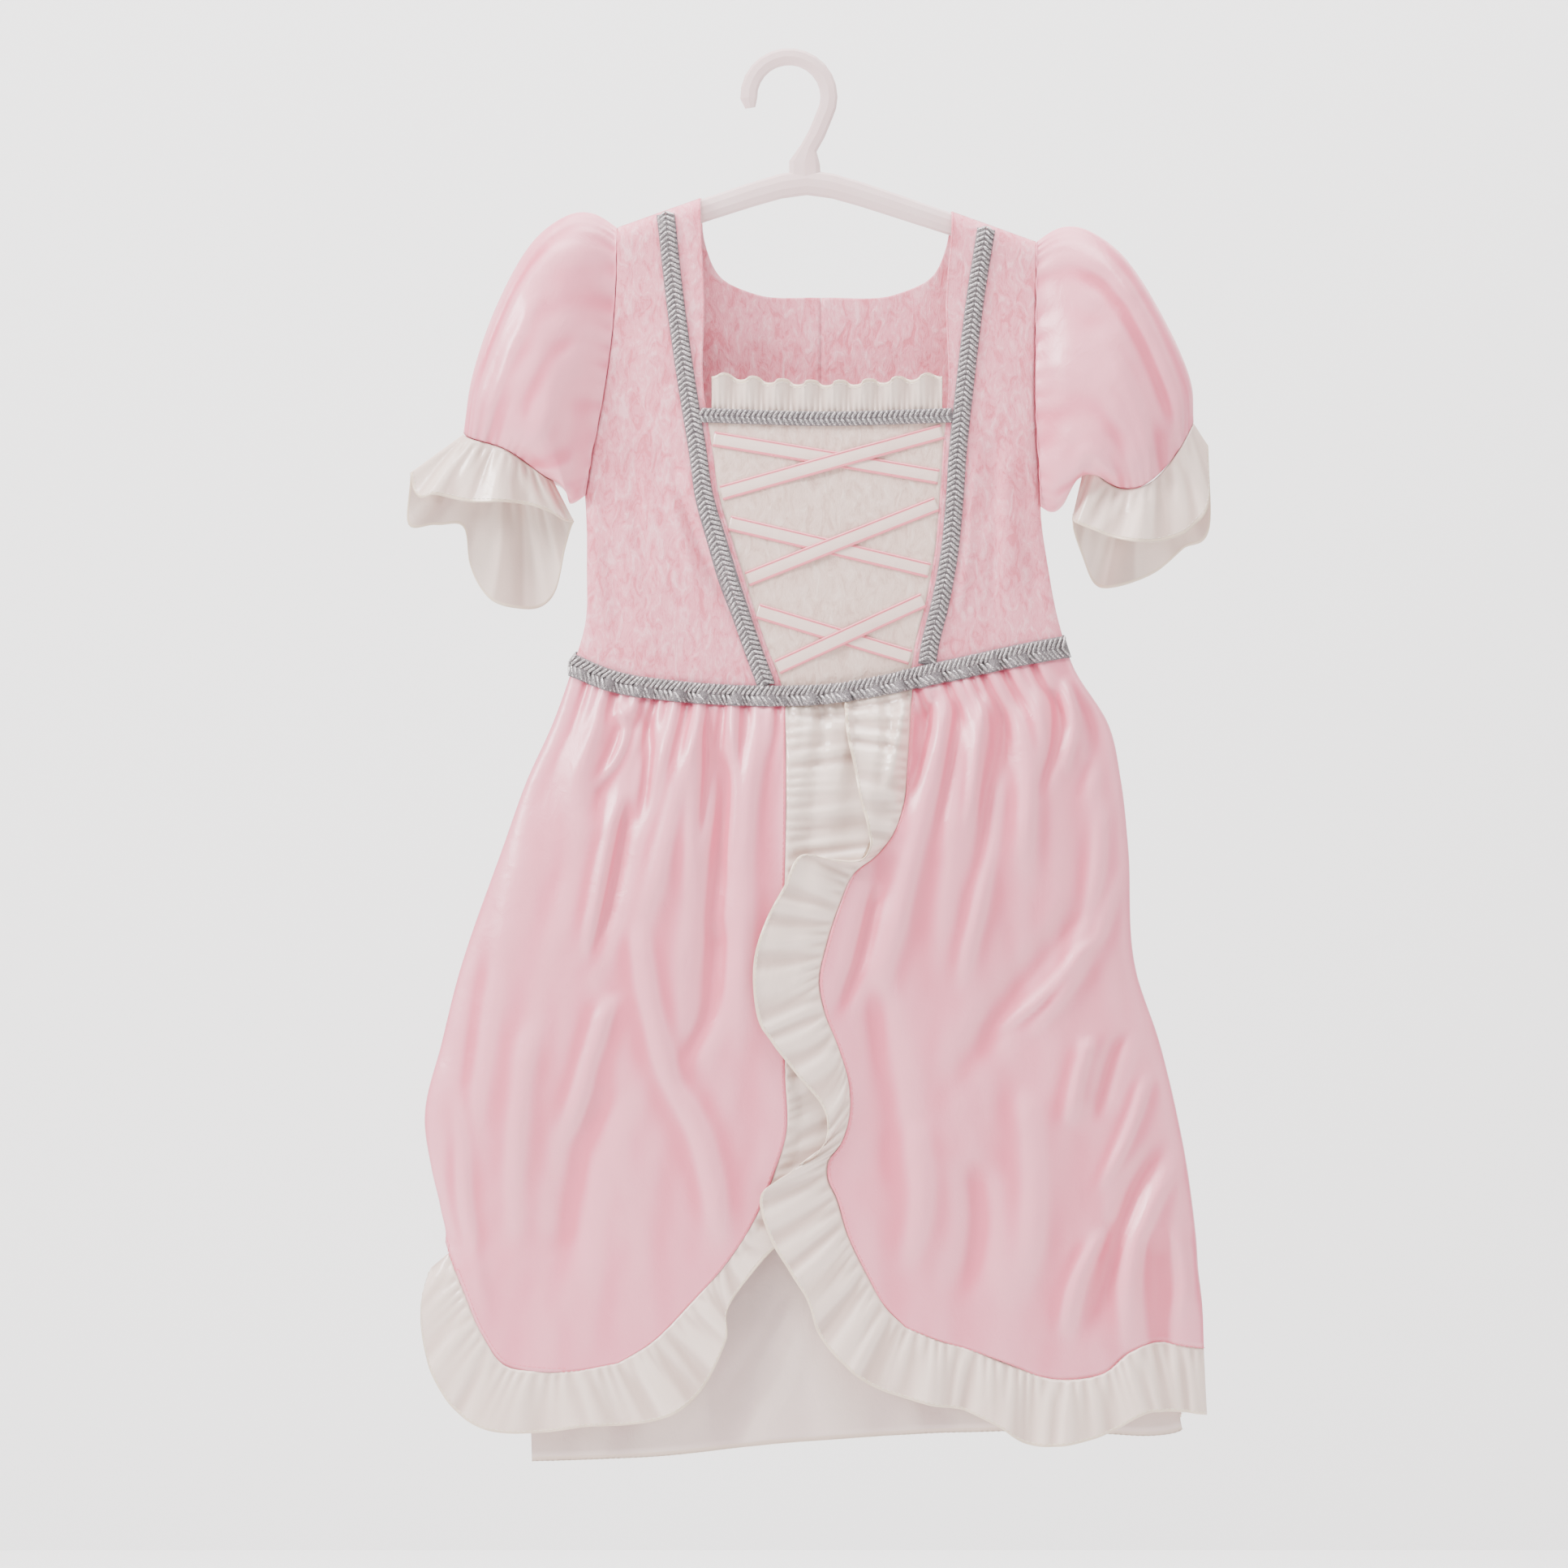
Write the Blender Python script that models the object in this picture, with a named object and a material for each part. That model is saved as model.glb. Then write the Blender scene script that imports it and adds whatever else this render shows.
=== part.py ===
"""A child's princess costume dress, hanging flat on its plastic hanger.

+X is the viewer's right, +Z is up, and the front of the dress faces -Y. The origin is the point inside the top of
the hanger's hook where a rod touches it. The tables and constants are in millimetres, and a drop is a distance
below the origin. The body of the dress is one flattened tube, described by its silhouette, its depth and its
folds; the cloth panels are patches of that tube, and the trimmings are made from the same points, moved out.
"""

import math
from typing import NamedTuple

import bmesh
import bpy
import numpy as np
from mathutils import Vector
from mathutils.bvhtree import BVHTree

MM = 0.001
CLOTH = 1.0
BRAID_THICK = 1.5
RIBBON_THICK = 1.0
SEAM_HALF = 0.2
LAID_ON = 0.35
FAR_OUT = 60.0
SIDE_GAP = 0.01
ARMHOLE_SHARE = 0.58
NECKLINE_SHARE = 0.5
TINY = 1e-4

LACE_WIDTH = 8.5
BRAID_WIDTH = 10.0
WAIST_BRAID_WIDTH = 12.0
SIDE_LEFT = -118.0
SIDE_RIGHT = 153.0
BACK_MIDDLE = 18.0
VELVET_PAST_BRAID = 8.2
RUFFLE_WIDTH = 38.0
RUFFLE_GAP = 0.6
ARMHOLE_GAP = 1.3
LEAVING_CLEAR = 4.0
SLEEVE_ROWS = np.array((0, 0.05, 0.11, 0.2, 0.32, 0.46, 0.6, 0.74, 0.88, 1.0))

SKIRT_ROWS = 16
LEFT_COLUMNS = 19
RIGHT_COLUMNS = 20
BACK_COLUMNS = 24

HANGER_MIDDLE = 10.0
HANGER_APEX_DROP = 58.0
HANGER_SLOPE = 0.36
HANGER_SPAN = 280.0
HANGER_ROUNDING = 15.0
BAR_THICK = 6.0
BAR_TALL = 14.0
HOOK_INNER_RADIUS = 17.5
HOOK_WIDTH = 9.5
HOOK_THICK = 5.0
SHOULDER_ROUND = 10.0
SHOULDER_GAP = 0.8
NECKLINE_DROP = 195.0
NECK_RUFFLE_TALL = 23.0
BACK_NECK_DROP = 128.0


class Finish(NamedTuple):
    colour: tuple
    roughness: float
    metallic: float = 0.0


FINISHES = {
    "pink_satin": Finish((0.86, 0.56, 0.60), 0.34),
    "pink_velvet": Finish((0.85, 0.52, 0.57), 0.75),
    "ivory_satin": Finish((0.87, 0.80, 0.76), 0.34),
    "ivory_velvet": Finish((0.84, 0.76, 0.72), 0.75),
    "underskirt_cloth": Finish((0.80, 0.72, 0.70), 0.60),
    "lace_ribbon": Finish((0.89, 0.78, 0.75), 0.30),
    "silver_braid": Finish((0.62, 0.60, 0.60), 0.40, 0.80),
    "hanger_plastic": Finish((0.93, 0.80, 0.79), 0.30),
}


class Silhouette(NamedTuple):
    drop: float
    left: float
    right: float


class Depth(NamedTuple):
    below_waist: float
    front: float
    back: float


class Fold(NamedTuple):
    """A soft ridge, or a trough where its height is negative, that runs down through three points."""

    top_x: float
    top_drop: float
    mid_x: float
    mid_drop: float
    low_x: float
    low_drop: float
    width: float
    height: float


class Lace(NamedTuple):
    left_drop: float
    right_drop: float
    over: bool


class Flute(NamedTuple):
    """Where a ruffle's free edge lies for one place on its seam."""

    seam: float
    hem_x: float
    hem_drop: float
    lift: float
    bow: float


class SleeveRing(NamedTuple):
    """Steps from the shoulder point and from the armpit, away from the body and down, and half the depth."""

    along: float
    top_out: float
    top_down: float
    under_out: float
    under_down: float
    depth: float
    front_sag: float
    back_sag: float


class CuffHem(NamedTuple):
    """The cuff's free edge at one place across it, -1 next to the body and 1 outside, from the armpit outwards."""

    across: float
    front_out: float
    front_drop: float
    back_out: float
    back_drop: float
    depth: float


BODY = (
    Silhouette(70, -135, 165),
    Silhouette(150, -126, 155),
    Silhouette(215, -116, 142),
    Silhouette(240, -113, 139.5),
    Silhouette(280, -112, 144),
    Silhouette(310, -113, 150),
    Silhouette(334, -120, 158),
    Silhouette(365, -131, 177),
    Silhouette(396, -145, 184),
    Silhouette(432, -158, 188),
    Silhouette(504, -183, 193),
    Silhouette(540, -192, 205),
    Silhouette(585, -202, 216),
    Silhouette(612, -198, 221),
    Silhouette(634, -193, 224),
    Silhouette(652, -190.5, 226),
    Silhouette(668, -199, 227),
    Silhouette(686, -204, 229),
    Silhouette(710, -204, 230),
    Silhouette(790, -203, 234),
)
BODY_DEPTH = (
    Depth(-290, 11, 11),
    Depth(-200, 12, 11),
    Depth(-110, 15, 13),
    Depth(-50, 14, 12),
    Depth(-10, 11.5, 10.5),
    Depth(0, 11, 10),
    Depth(10, 15, 13),
    Depth(25, 19, 16),
    Depth(80, 25, 20),
    Depth(200, 27, 22),
    Depth(460, 27, 22),
)
UNDERSKIRT = (
    Silhouette(315, -107, 145),
    Silhouette(334, -112, 150),
    Silhouette(365, -122, 166),
    Silhouette(432, -138, 176),
    Silhouette(540, -146, 184),
    Silhouette(650, -146, 200),
    Silhouette(790, -142, 224),
)
UNDERSKIRT_DEPTH = (
    Depth(0, 7.0, 6.5),
    Depth(10, 7.4, 7.0),
    Depth(60, 11, 10),
    Depth(200, 15, 13),
    Depth(460, 16, 14),
)
WAIST = (
    (-124, 331.5),
    (-95, 342),
    (-64, 347),
    (-32, 349.5),
    (-3, 350),
    (26, 348.5),
    (49, 344.5),
    (76, 338.5),
    (103, 333),
    (130, 327.5),
    (162, 322),
)

# Folds of the dress's front, from the bodice down to the hem.
FRONT_FOLDS = (
    Fold(-74, 205, -52, 262, -26, 318, 5, -3.0),
    Fold(-62, 215, -40, 265, -14, 322, 6, 1.6),
    Fold(-100, 262, -95, 300, -88, 328, 6, -1.6),
    Fold(112, 205, 110, 235, 104, 268, 5, -2.0),
    Fold(122, 205, 121, 240, 124, 300, 7, 1.8),
    Fold(-86, 355, -98, 385, -107, 425, 6.5, -4.5),
    Fold(-101, 355, -112, 385, -122, 450, 7, 3.0),
    Fold(-38, 356, -38, 430, -48, 545, 6.5, -5.0),
    Fold(-66, 356, -70, 430, -92, 500, 11, 3.5),
    Fold(-89, 400, -97, 455, -114, 510, 6, -3.5),
    Fold(-22, 356, -24, 440, -28, 560, 7, 2.4),
    Fold(-140, 400, -160, 480, -178, 620, 9, 2.5),
    Fold(78, 346, 68, 385, 60, 425, 5.5, -4.5),
    Fold(86, 346, 70, 430, 46, 530, 7.5, 4.5),
    Fold(50, 450, 39, 495, 26, 532, 5, -3.5),
    Fold(122, 342, 113, 400, 104, 470, 7, -4.5),
    Fold(139, 340, 135, 395, 124, 460, 8, 3.8),
    Fold(104, 348, 92, 430, 84, 520, 8, 2.4),
    Fold(172, 455, 120, 520, 86, 580, 10, -3.0),
    Fold(208, 590, 186, 638, 163, 712, 7.5, -5.0),
    Fold(216, 600, 192, 650, 187, 715, 7, 4.5),
    Fold(204, 640, 205, 680, 206, 735, 9, -6.0),
)
BACK_FOLDS = (
    Fold(-96, 345, -112, 430, -140, 640, 9, -4.5),
    Fold(-64, 345, -74, 430, -96, 660, 11, 4.0),
    Fold(-30, 345, -36, 430, -48, 650, 8, -4.5),
    Fold(4, 345, 2, 430, -6, 650, 11, 4.0),
    Fold(38, 345, 40, 430, 46, 650, 9, -4.5),
    Fold(72, 345, 80, 430, 96, 650, 11, 4.0),
    Fold(106, 345, 122, 430, 148, 640, 9, -4.5),
    Fold(134, 345, 152, 430, 182, 640, 9, 3.5),
)
UNDER_FRONT_FOLDS = (
    Fold(-16, 600, -50, 690, -84, 800, 16, 3.0),
    Fold(-4, 560, -20, 650, -38, 800, 10, -2.5),
    Fold(40, 600, 30, 700, 20, 800, 18, 2.5),
    Fold(120, 560, 130, 690, 136, 800, 18, -2.0),
)
UNDER_BACK_FOLDS = (
    Fold(-60, 400, -74, 600, -86, 800, 18, -2.0),
    Fold(10, 400, 8, 600, 4, 800, 22, 2.0),
    Fold(90, 400, 104, 600, 120, 800, 18, -2.0),
)

# Centre lines of the two braids up the bodice, as (x, drop).
LEFT_BRAID = (
    (-13, 342.4),
    (-21.3, 320),
    (-29.7, 295),
    (-38.9, 266),
    (-46.8, 239),
    (-50.6, 213),
    (-56, 180),
    (-63, 130),
    (-68, 84),
)
RIGHT_BRAID = (
    (75.8, 336),
    (77.9, 321.8),
    (83, 301),
    (88.2, 274),
    (91.4, 243),
    (93.4, 213),
    (97, 180),
    (103, 130),
    (109, 92),
)
LEFT_ARMHOLE = ((-113, 239), (-109, 218), (-103, 188), (-98, 155), (-95.5, 125), (-95, 96))
RIGHT_ARMHOLE = ((139.5, 245), (138, 222), (136, 190), (136, 155), (136.5, 125), (137, 105))

LACING = (
    Lace(208, 229, False),
    Lace(238, 204, True),
    Lace(254.5, 280.6, False),
    Lace(285.5, 244, True),
    Lace(303, 328.5, False),
    Lace(334, 297, True),
)

# The overskirt's opening edges and hems, as (x, drop).
BACK_HEM = (
    (-190.5, 652),
    (-178, 694),
    (-150, 714),
    (-90, 718),
    (0, 716),
    (100, 718),
    (180, 716),
    (230, 711),
)
LEFT_OPENING = (
    (-2, 350),
    (-2, 430),
    (-3, 500),
    (-2, 560),
    (-1.5, 590),
    (-8, 612),
    (-16, 632),
    (-33, 660),
    (-54, 684),
    (-76, 706),
    (-94, 717),
)
LEFT_HEM = (
    (-190.5, 652),
    (-187, 661),
    (-179, 680),
    (-169, 703),
    (-157, 719),
    (-140, 722),
    (-118, 721.5),
    (-94, 717),
)
RIGHT_OPENING = (
    (68.4, 341),
    (67, 368),
    (65.5, 388),
    (63.5, 409),
    (57.5, 426),
    (47.5, 438.5),
    (36.5, 447),
    (28, 465.5),
    (21, 487),
    (17, 508),
    (20, 524),
    (28, 545),
    (33, 563),
    (33.5, 580),
    (29, 596),
    (21.5, 607),
    (21.5, 615),
    (26, 625),
    (32.4, 646),
    (43.5, 669),
    (53, 686),
    (64, 697),
)
RIGHT_HEM = (
    (64, 697),
    (80.5, 703.6),
    (102, 710.5),
    (126, 719.7),
    (139, 725),
    (155, 726.5),
    (173, 723),
    (187, 712),
    (203, 707),
    (217, 709),
    (230, 711),
)
UNDERSKIRT_HEM = (
    (-145, 774),
    (-77, 772),
    (-32, 769),
    (13, 762),
    (80, 756),
    (120, 756),
    (165, 759),
    (224, 756),
)

# The free edge of the ruffle down the right front and round its hem. The seam share runs from waist to side.
RIGHT_RUFFLE = (
    Flute(0.000, 31, 352, 1.5, 0),
    Flute(0.050, 31.5, 368, 5.0, 2),
    Flute(0.090, 35.5, 388, 6.0, 3),
    Flute(0.120, 39, 407, 7.0, 2),
    Flute(0.145, 43, 422, 7.0, 1),
    Flute(0.165, 44, 434, 7.0, 0),
    Flute(0.180, 38, 441, 7.0, 0),
    Flute(0.195, 22, 440, 7.0, 0),
    Flute(0.210, 8, 437, 7.0, 0),
    Flute(0.235, -3, 455, 6.0, 0),
    Flute(0.260, -13, 474, 6.0, 0),
    Flute(0.290, -19.5, 498, 5.0, 0),
    Flute(0.320, -17.5, 526, 5.0, 1),
    Flute(0.350, -9, 541, 5.0, 2),
    Flute(0.380, 5, 559, 5.0, 2),
    Flute(0.405, 18, 575, 5.0, 2),
    Flute(0.430, 21, 589, 5.0, 1),
    Flute(0.450, 17, 600, 5.0, 0),
    Flute(0.468, 8, 606, 5.0, 0),
    Flute(0.485, 0, 612, 6.0, 0),
    Flute(0.505, -15, 623, 6.0, 0),
    Flute(0.530, -12, 644, 6.0, 0),
    Flute(0.560, -1, 664, 6.0, 0),
    Flute(0.590, 10, 682, 7.0, 0),
    Flute(0.620, 17, 702, 4.0, 0),
    Flute(0.650, 32, 719, 7.0, 0),
    Flute(0.685, 50, 731, 3.0, 0),
    Flute(0.715, 76, 739, 7.0, 0),
    Flute(0.755, 97, 743, 2.0, 0),
    Flute(0.785, 116, 752, 8.0, 0),
    Flute(0.815, 130, 761, 4.0, 0),
    Flute(0.850, 152, 762, 8.0, 0),
    Flute(0.885, 176, 756, 3.0, 0),
    Flute(0.915, 195, 746, 6.0, 0),
    Flute(0.950, 211, 745, 1.0, 0),
    Flute(1.000, 232, 748, 1.0, 0),
)
LEFT_RUFFLE = (
    Flute(0.000, 24, 354, 0.0, 0),
    Flute(0.040, 29, 366, 1.0, 0),
    Flute(0.075, 28, 384, -0.5, 0),
    Flute(0.105, 10, 404, 2.0, 0),
    Flute(0.140, 26, 416, -1.0, 0),
    Flute(0.180, 13, 436, 1.5, 0),
    Flute(0.230, 16, 462, -1.0, 0),
    Flute(0.290, 11, 496, 1.5, 0),
    Flute(0.350, 12, 530, -1.0, 0),
    Flute(0.410, 10, 564, 1.5, 0),
    Flute(0.460, 12, 590, -1.0, 0),
    Flute(0.500, 8, 620, 1.0, 0),
    Flute(0.535, 6, 640, -1.0, 0),
    Flute(0.570, -14, 660, 2.0, 0),
    Flute(0.600, -31, 682, 0.0, 0),
    Flute(0.655, -35, 706, 3.0, 0),
    Flute(0.697, -49, 733, 0.0, 0),
    Flute(0.733, -66, 746, 4.0, 0),
    Flute(0.764, -88, 751, 0.0, 0),
    Flute(0.795, -112, 752, 4.0, 0),
    Flute(0.825, -138, 756, 0.0, 0),
    Flute(0.856, -165, 755, 4.0, 0),
    Flute(0.888, -184, 745, 0.0, 0),
    Flute(0.920, -197, 726, 3.0, 0),
    Flute(0.950, -203, 706, 0.0, 0),
    Flute(0.980, -204, 686, 2.0, 0),
    Flute(1.000, -202.5, 670, 0.0, 0),
)

LEFT_SLEEVE = (
    SleeveRing(0.00, 0, 0, 0, 0, 7, 0, 0),
    SleeveRing(0.15, 15, -9, 4, 3, 17, 1, 1),
    SleeveRing(0.38, 43, 4, 8, 4, 25, 2, 4),
    SleeveRing(0.62, 66, 42, 9, 0, 26, 2, 9),
    SleeveRing(0.82, 80, 82, 12, -5, 21, 0, 14),
    SleeveRing(1.00, 85, 114, 17, -9, 11, -3, 18),
)
RIGHT_SLEEVE = (
    SleeveRing(0.00, 0, 0, 0, 0, 7, 0, 0),
    SleeveRing(0.15, 15, -9, 5, 3, 17, 1, 1),
    SleeveRing(0.38, 44, 4, 12, -1, 25, 4, 4),
    SleeveRing(0.62, 69, 40, 17, -12, 26, 11, 11),
    SleeveRing(0.82, 85, 76, 20, -19, 21, 19, 19),
    SleeveRing(1.00, 87, 100, 24, -25, 11, 25, 25),
)
LEFT_CUFF = (
    CuffHem(-1.00, 6, 253, 6, 253, 0),
    CuffHem(-0.85, 13, 249, 10, 268, 7),
    CuffHem(-0.50, 26, 245, 18, 294, 14),
    CuffHem(-0.10, 44, 243, 36, 301, 16),
    CuffHem(0.20, 58, 243, 55, 294, 16),
    CuffHem(0.42, 67, 242, 65, 276, 14),
    CuffHem(0.58, 75, 240, 68, 256, 12),
    CuffHem(0.76, 84, 237, 84, 256, 10),
    CuffHem(0.90, 91, 235, 101, 256, 7),
    CuffHem(1.00, 97, 226, 97, 226, 0),
)
RIGHT_CUFF = (
    CuffHem(-1.00, 17.5, 251, 17.5, 251, 0),
    CuffHem(-0.85, 19, 253, 18.5, 259, 7),
    CuffHem(-0.60, 27, 257, 24, 273, 13),
    CuffHem(-0.30, 38, 262, 31, 287, 17),
    CuffHem(0.00, 52, 265, 42, 289, 18),
    CuffHem(0.30, 68, 264, 64, 281, 17),
    CuffHem(0.60, 84, 256, 80, 268, 14),
    CuffHem(0.85, 93, 238, 95, 254, 8),
    CuffHem(1.00, 93, 211, 93, 211, 0),
)

FRONT = 1.0
BACK = -1.0


def column(rows, name):
    return np.array([getattr(row, name) for row in rows], float)


def smooth(knots, values, at):
    """A cubic curve through the values, with each slope taken from its neighbours."""
    knots, values, at = np.asarray(knots, float), np.asarray(values, float), np.asarray(at, float)
    slopes = np.gradient(values, knots)
    left = np.clip(np.searchsorted(knots, at) - 1, 0, len(knots) - 2)
    step = knots[left + 1] - knots[left]
    t = np.clip((at - knots[left]) / step, -0.2, 1.2)
    rise = values[left] * (2 * t**3 - 3 * t**2 + 1) + values[left + 1] * (3 * t**2 - 2 * t**3)
    return rise + step * (slopes[left] * (t**3 - 2 * t**2 + t) + slopes[left + 1] * (t**3 - t**2))


def ease(t):
    t = np.clip(t, 0.0, 1.0)
    return t * t * (3 - 2 * t)


def waist_drop(x, side=FRONT):
    """The waist seam, which dips in the middle of the front and runs straight across the back."""
    rows = np.array(WAIST, float)
    dipped = smooth(rows[:, 0], rows[:, 1], np.clip(x, rows[0, 0], rows[-1, 0]))
    straight = np.interp(x, rows[[0, -1], 0], rows[[0, -1], 1])
    return np.where(np.asarray(side) > 0, dipped, straight)


def bar_top_drop(x):
    """The hanger's upper edge, two sloping arms with a rounded apex."""
    from_middle = np.sqrt((np.asarray(x) - HANGER_MIDDLE) ** 2 + HANGER_ROUNDING**2) - HANGER_ROUNDING
    return HANGER_APEX_DROP + HANGER_SLOPE * from_middle


def shoulder_drop(x):
    """The highest line of the cloth, which lies over the hanger's arms."""
    lean = math.hypot(1.0, HANGER_SLOPE)
    return bar_top_drop(x) - (CLOTH + LAID_ON) * lean


def relief(folds, x, drop):
    """How far the folds push the cloth out at this place."""
    height = np.zeros(np.broadcast(x, drop).shape)
    for fold in folds:
        drops = (fold.top_drop, fold.mid_drop, fold.low_drop)
        line = smooth(drops, (fold.top_x, fold.mid_x, fold.low_x), np.clip(drop, drops[0], drops[2]))
        share = (drop - fold.top_drop) / (fold.low_drop - fold.top_drop)
        strength = ease(share / 0.2) * ease((1 - share) / 0.35)
        height = height + fold.height * strength * np.exp(-(((x - line) / fold.width) ** 2))
    return height


def tube(angle, drop, silhouette, depths, front_folds, back_folds):
    """A point of a flattened tube. The angle is 0 at the middle of the front and a quarter turn at the right."""
    drops = column(silhouette, "drop")
    left = smooth(drops, column(silhouette, "left"), drop)
    right = smooth(drops, column(silhouette, "right"), drop)
    x = (left + right) / 2 + (right - left) / 2 * np.sin(angle)
    facing = np.cos(angle)
    side = np.where(facing >= 0, FRONT, BACK)
    below = drop - waist_drop(x, side)
    knots = column(depths, "below_waist")
    deep = np.where(
        facing >= 0,
        smooth(knots, column(depths, "front"), below),
        smooth(knots, column(depths, "back"), below),
    )
    rounding = 1 - np.clip((drop - shoulder_drop(x)) / SHOULDER_ROUND, 0, 1)
    deep = deep * np.sqrt(np.clip(1 - rounding**2, 0, 1))
    folded = np.where(facing >= 0, relief(front_folds, x, drop), relief(back_folds, x, drop))
    flat_share = 1 - (1 - np.abs(facing)) ** 3
    y = -facing * deep - side * (folded * flat_share + SEAM_HALF + SHOULDER_GAP * rounding**4)
    return np.stack([x, y, -np.asarray(drop) * np.ones_like(x)], axis=-1)


def body(angle, drop):
    return tube(angle, drop, BODY, BODY_DEPTH, FRONT_FOLDS, BACK_FOLDS)


def underskirt(angle, drop):
    return tube(angle, drop, UNDERSKIRT, UNDERSKIRT_DEPTH, UNDER_FRONT_FOLDS, UNDER_BACK_FOLDS)


def angle_at(x, drop, side=FRONT, silhouette=BODY):
    """The tube's angle at a place of the front view, on its front or its back."""
    drops = column(silhouette, "drop")
    left = smooth(drops, column(silhouette, "left"), drop)
    right = smooth(drops, column(silhouette, "right"), drop)
    turn = np.arcsin(np.clip((x - (left + right) / 2) / ((right - left) / 2), -1, 1))
    return np.where(np.asarray(side) > 0, turn, math.pi - turn)


def path(points, shift=0.0):
    """A smooth curve through (x, drop) points, as a function of the share along it."""
    rows = np.array(points, float)
    along = np.concatenate([[0], np.cumsum(np.hypot(*np.diff(rows, axis=0).T))])
    along /= along[-1]

    def at(share):
        return smooth(along, rows[:, 0], share) + shift, smooth(along, rows[:, 1], share)

    return at


def on_tube(curve, side=FRONT, silhouette=BODY):
    """The same curve as (angle, drop) on the tube, kept off the side seams."""

    def at(share):
        x, drop = curve(share)
        turn = angle_at(x, drop, side, silhouette)
        middle = 0.0 if side > 0 else math.pi
        reach = math.pi / 2 - SIDE_GAP
        return np.clip(turn, middle - reach, middle + reach), drop

    return at



def line(start, end):
    """A straight edge between two (x, drop) points."""

    def at(share):
        share = np.asarray(share, float)
        return start[0] + (end[0] - start[0]) * share, start[1] + (end[1] - start[1]) * share

    return at


def side_seam(sign, side, top, bottom):
    """The side seam of the front or the back, from one drop to another."""
    quarter = math.pi / 2 - SIDE_GAP
    turn = sign * quarter if side > 0 else math.pi - sign * quarter

    def at(share):
        share = np.asarray(share, float)
        return np.full(share.shape, turn), top + (bottom - top) * share

    return at


def patch(surface, top, bottom, left, right):
    """A panel between four edges, each given as (angle, drop) by its share from left to right or top to bottom."""
    corner = {(i, j): np.array([float(c) for c in (top, bottom)[j](float(i))]) for i in (0, 1) for j in (0, 1)}

    def at(u, v):
        mixed = []
        for k in (0, 1):
            across = (1 - v) * top(u)[k] + v * bottom(u)[k]
            down = (1 - u) * left(v)[k] + u * right(v)[k]
            corners = (1 - u) * ((1 - v) * corner[0, 0][k] + v * corner[0, 1][k])
            corners = corners + u * ((1 - v) * corner[1, 0][k] + v * corner[1, 1][k])
            mixed.append(across + down - corners)
        return surface(mixed[0], mixed[1])

    return at


def outward(surface, u, v, away):
    """The unit normals of a surface, on the side that `away` points to."""
    du = surface(u + TINY, v) - surface(u - TINY, v)
    dv = surface(u, v + TINY) - surface(u, v - TINY)
    normal = np.cross(du, dv)
    normal = normal / np.maximum(np.linalg.norm(normal, axis=-1, keepdims=True), 1e-12)
    return normal * (1.0 if float((normal * away).sum(-1).mean()) >= 0 else -1.0)


def finish_material(name):
    material = bpy.data.materials.get(name)
    if material is None:
        material = bpy.data.materials.new(name)
        material.use_nodes = True
        shader = material.node_tree.nodes["Principled BSDF"]
        finish = FINISHES[name]
        shader.inputs["Base Color"].default_value = (*finish.colour, 1.0)
        shader.inputs["Roughness"].default_value = finish.roughness
        shader.inputs["Metallic"].default_value = finish.metallic
    return material


def add_object(name, bm, finish, smooth_shading=True):
    bmesh.ops.recalc_face_normals(bm, faces=bm.faces)
    mesh = bpy.data.meshes.new(name)
    bm.to_mesh(mesh)
    bm.free()
    obj = bpy.data.objects.new(name, mesh)
    bpy.context.scene.collection.objects.link(obj)
    mesh.materials.append(finish_material(finish))
    if smooth_shading:
        mesh.shade_smooth()
        mesh.set_sharp_from_angle(angle=math.radians(50))
    return obj


def closed_wall(name, outer, inner, finish, ring=False):
    """A closed solid between two grids of points in millimetres; a ring closes on itself across the first index."""
    bm = bmesh.new()
    count_u, count_v = outer.shape[:2]
    verts = [[[bm.verts.new(Vector(p) * MM) for p in row] for row in grid] for grid in (outer, inner)]
    last_u = count_u if ring else count_u - 1
    for i in range(last_u):
        j = (i + 1) % count_u
        for k in range(count_v - 1):
            for grid in verts:
                bm.faces.new((grid[i][k], grid[j][k], grid[j][k + 1], grid[i][k + 1]))
        for k in (0, count_v - 1):
            bm.faces.new((verts[0][i][k], verts[0][j][k], verts[1][j][k], verts[1][i][k]))
    if not ring:
        for i in (0, count_u - 1):
            for k in range(count_v - 1):
                bm.faces.new((verts[0][i][k], verts[0][i][k + 1], verts[1][i][k + 1], verts[1][i][k]))
    return add_object(name, bm, finish)


def wall(name, surface, us, vs, finish, away, thick=CLOTH, lift=0.0, ring=False):
    """A sheet of cloth whose outer face follows the surface, moved out by the lift, which may be a grid."""
    u, v = np.meshgrid(us, vs, indexing="ij")
    face = surface(u, v)
    normal = outward(surface, u, v, np.asarray(away, float))
    outer = face + normal * (lift[..., None] if isinstance(lift, np.ndarray) else lift)
    return closed_wall(name, outer, outer - normal * thick, finish, ring)


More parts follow.
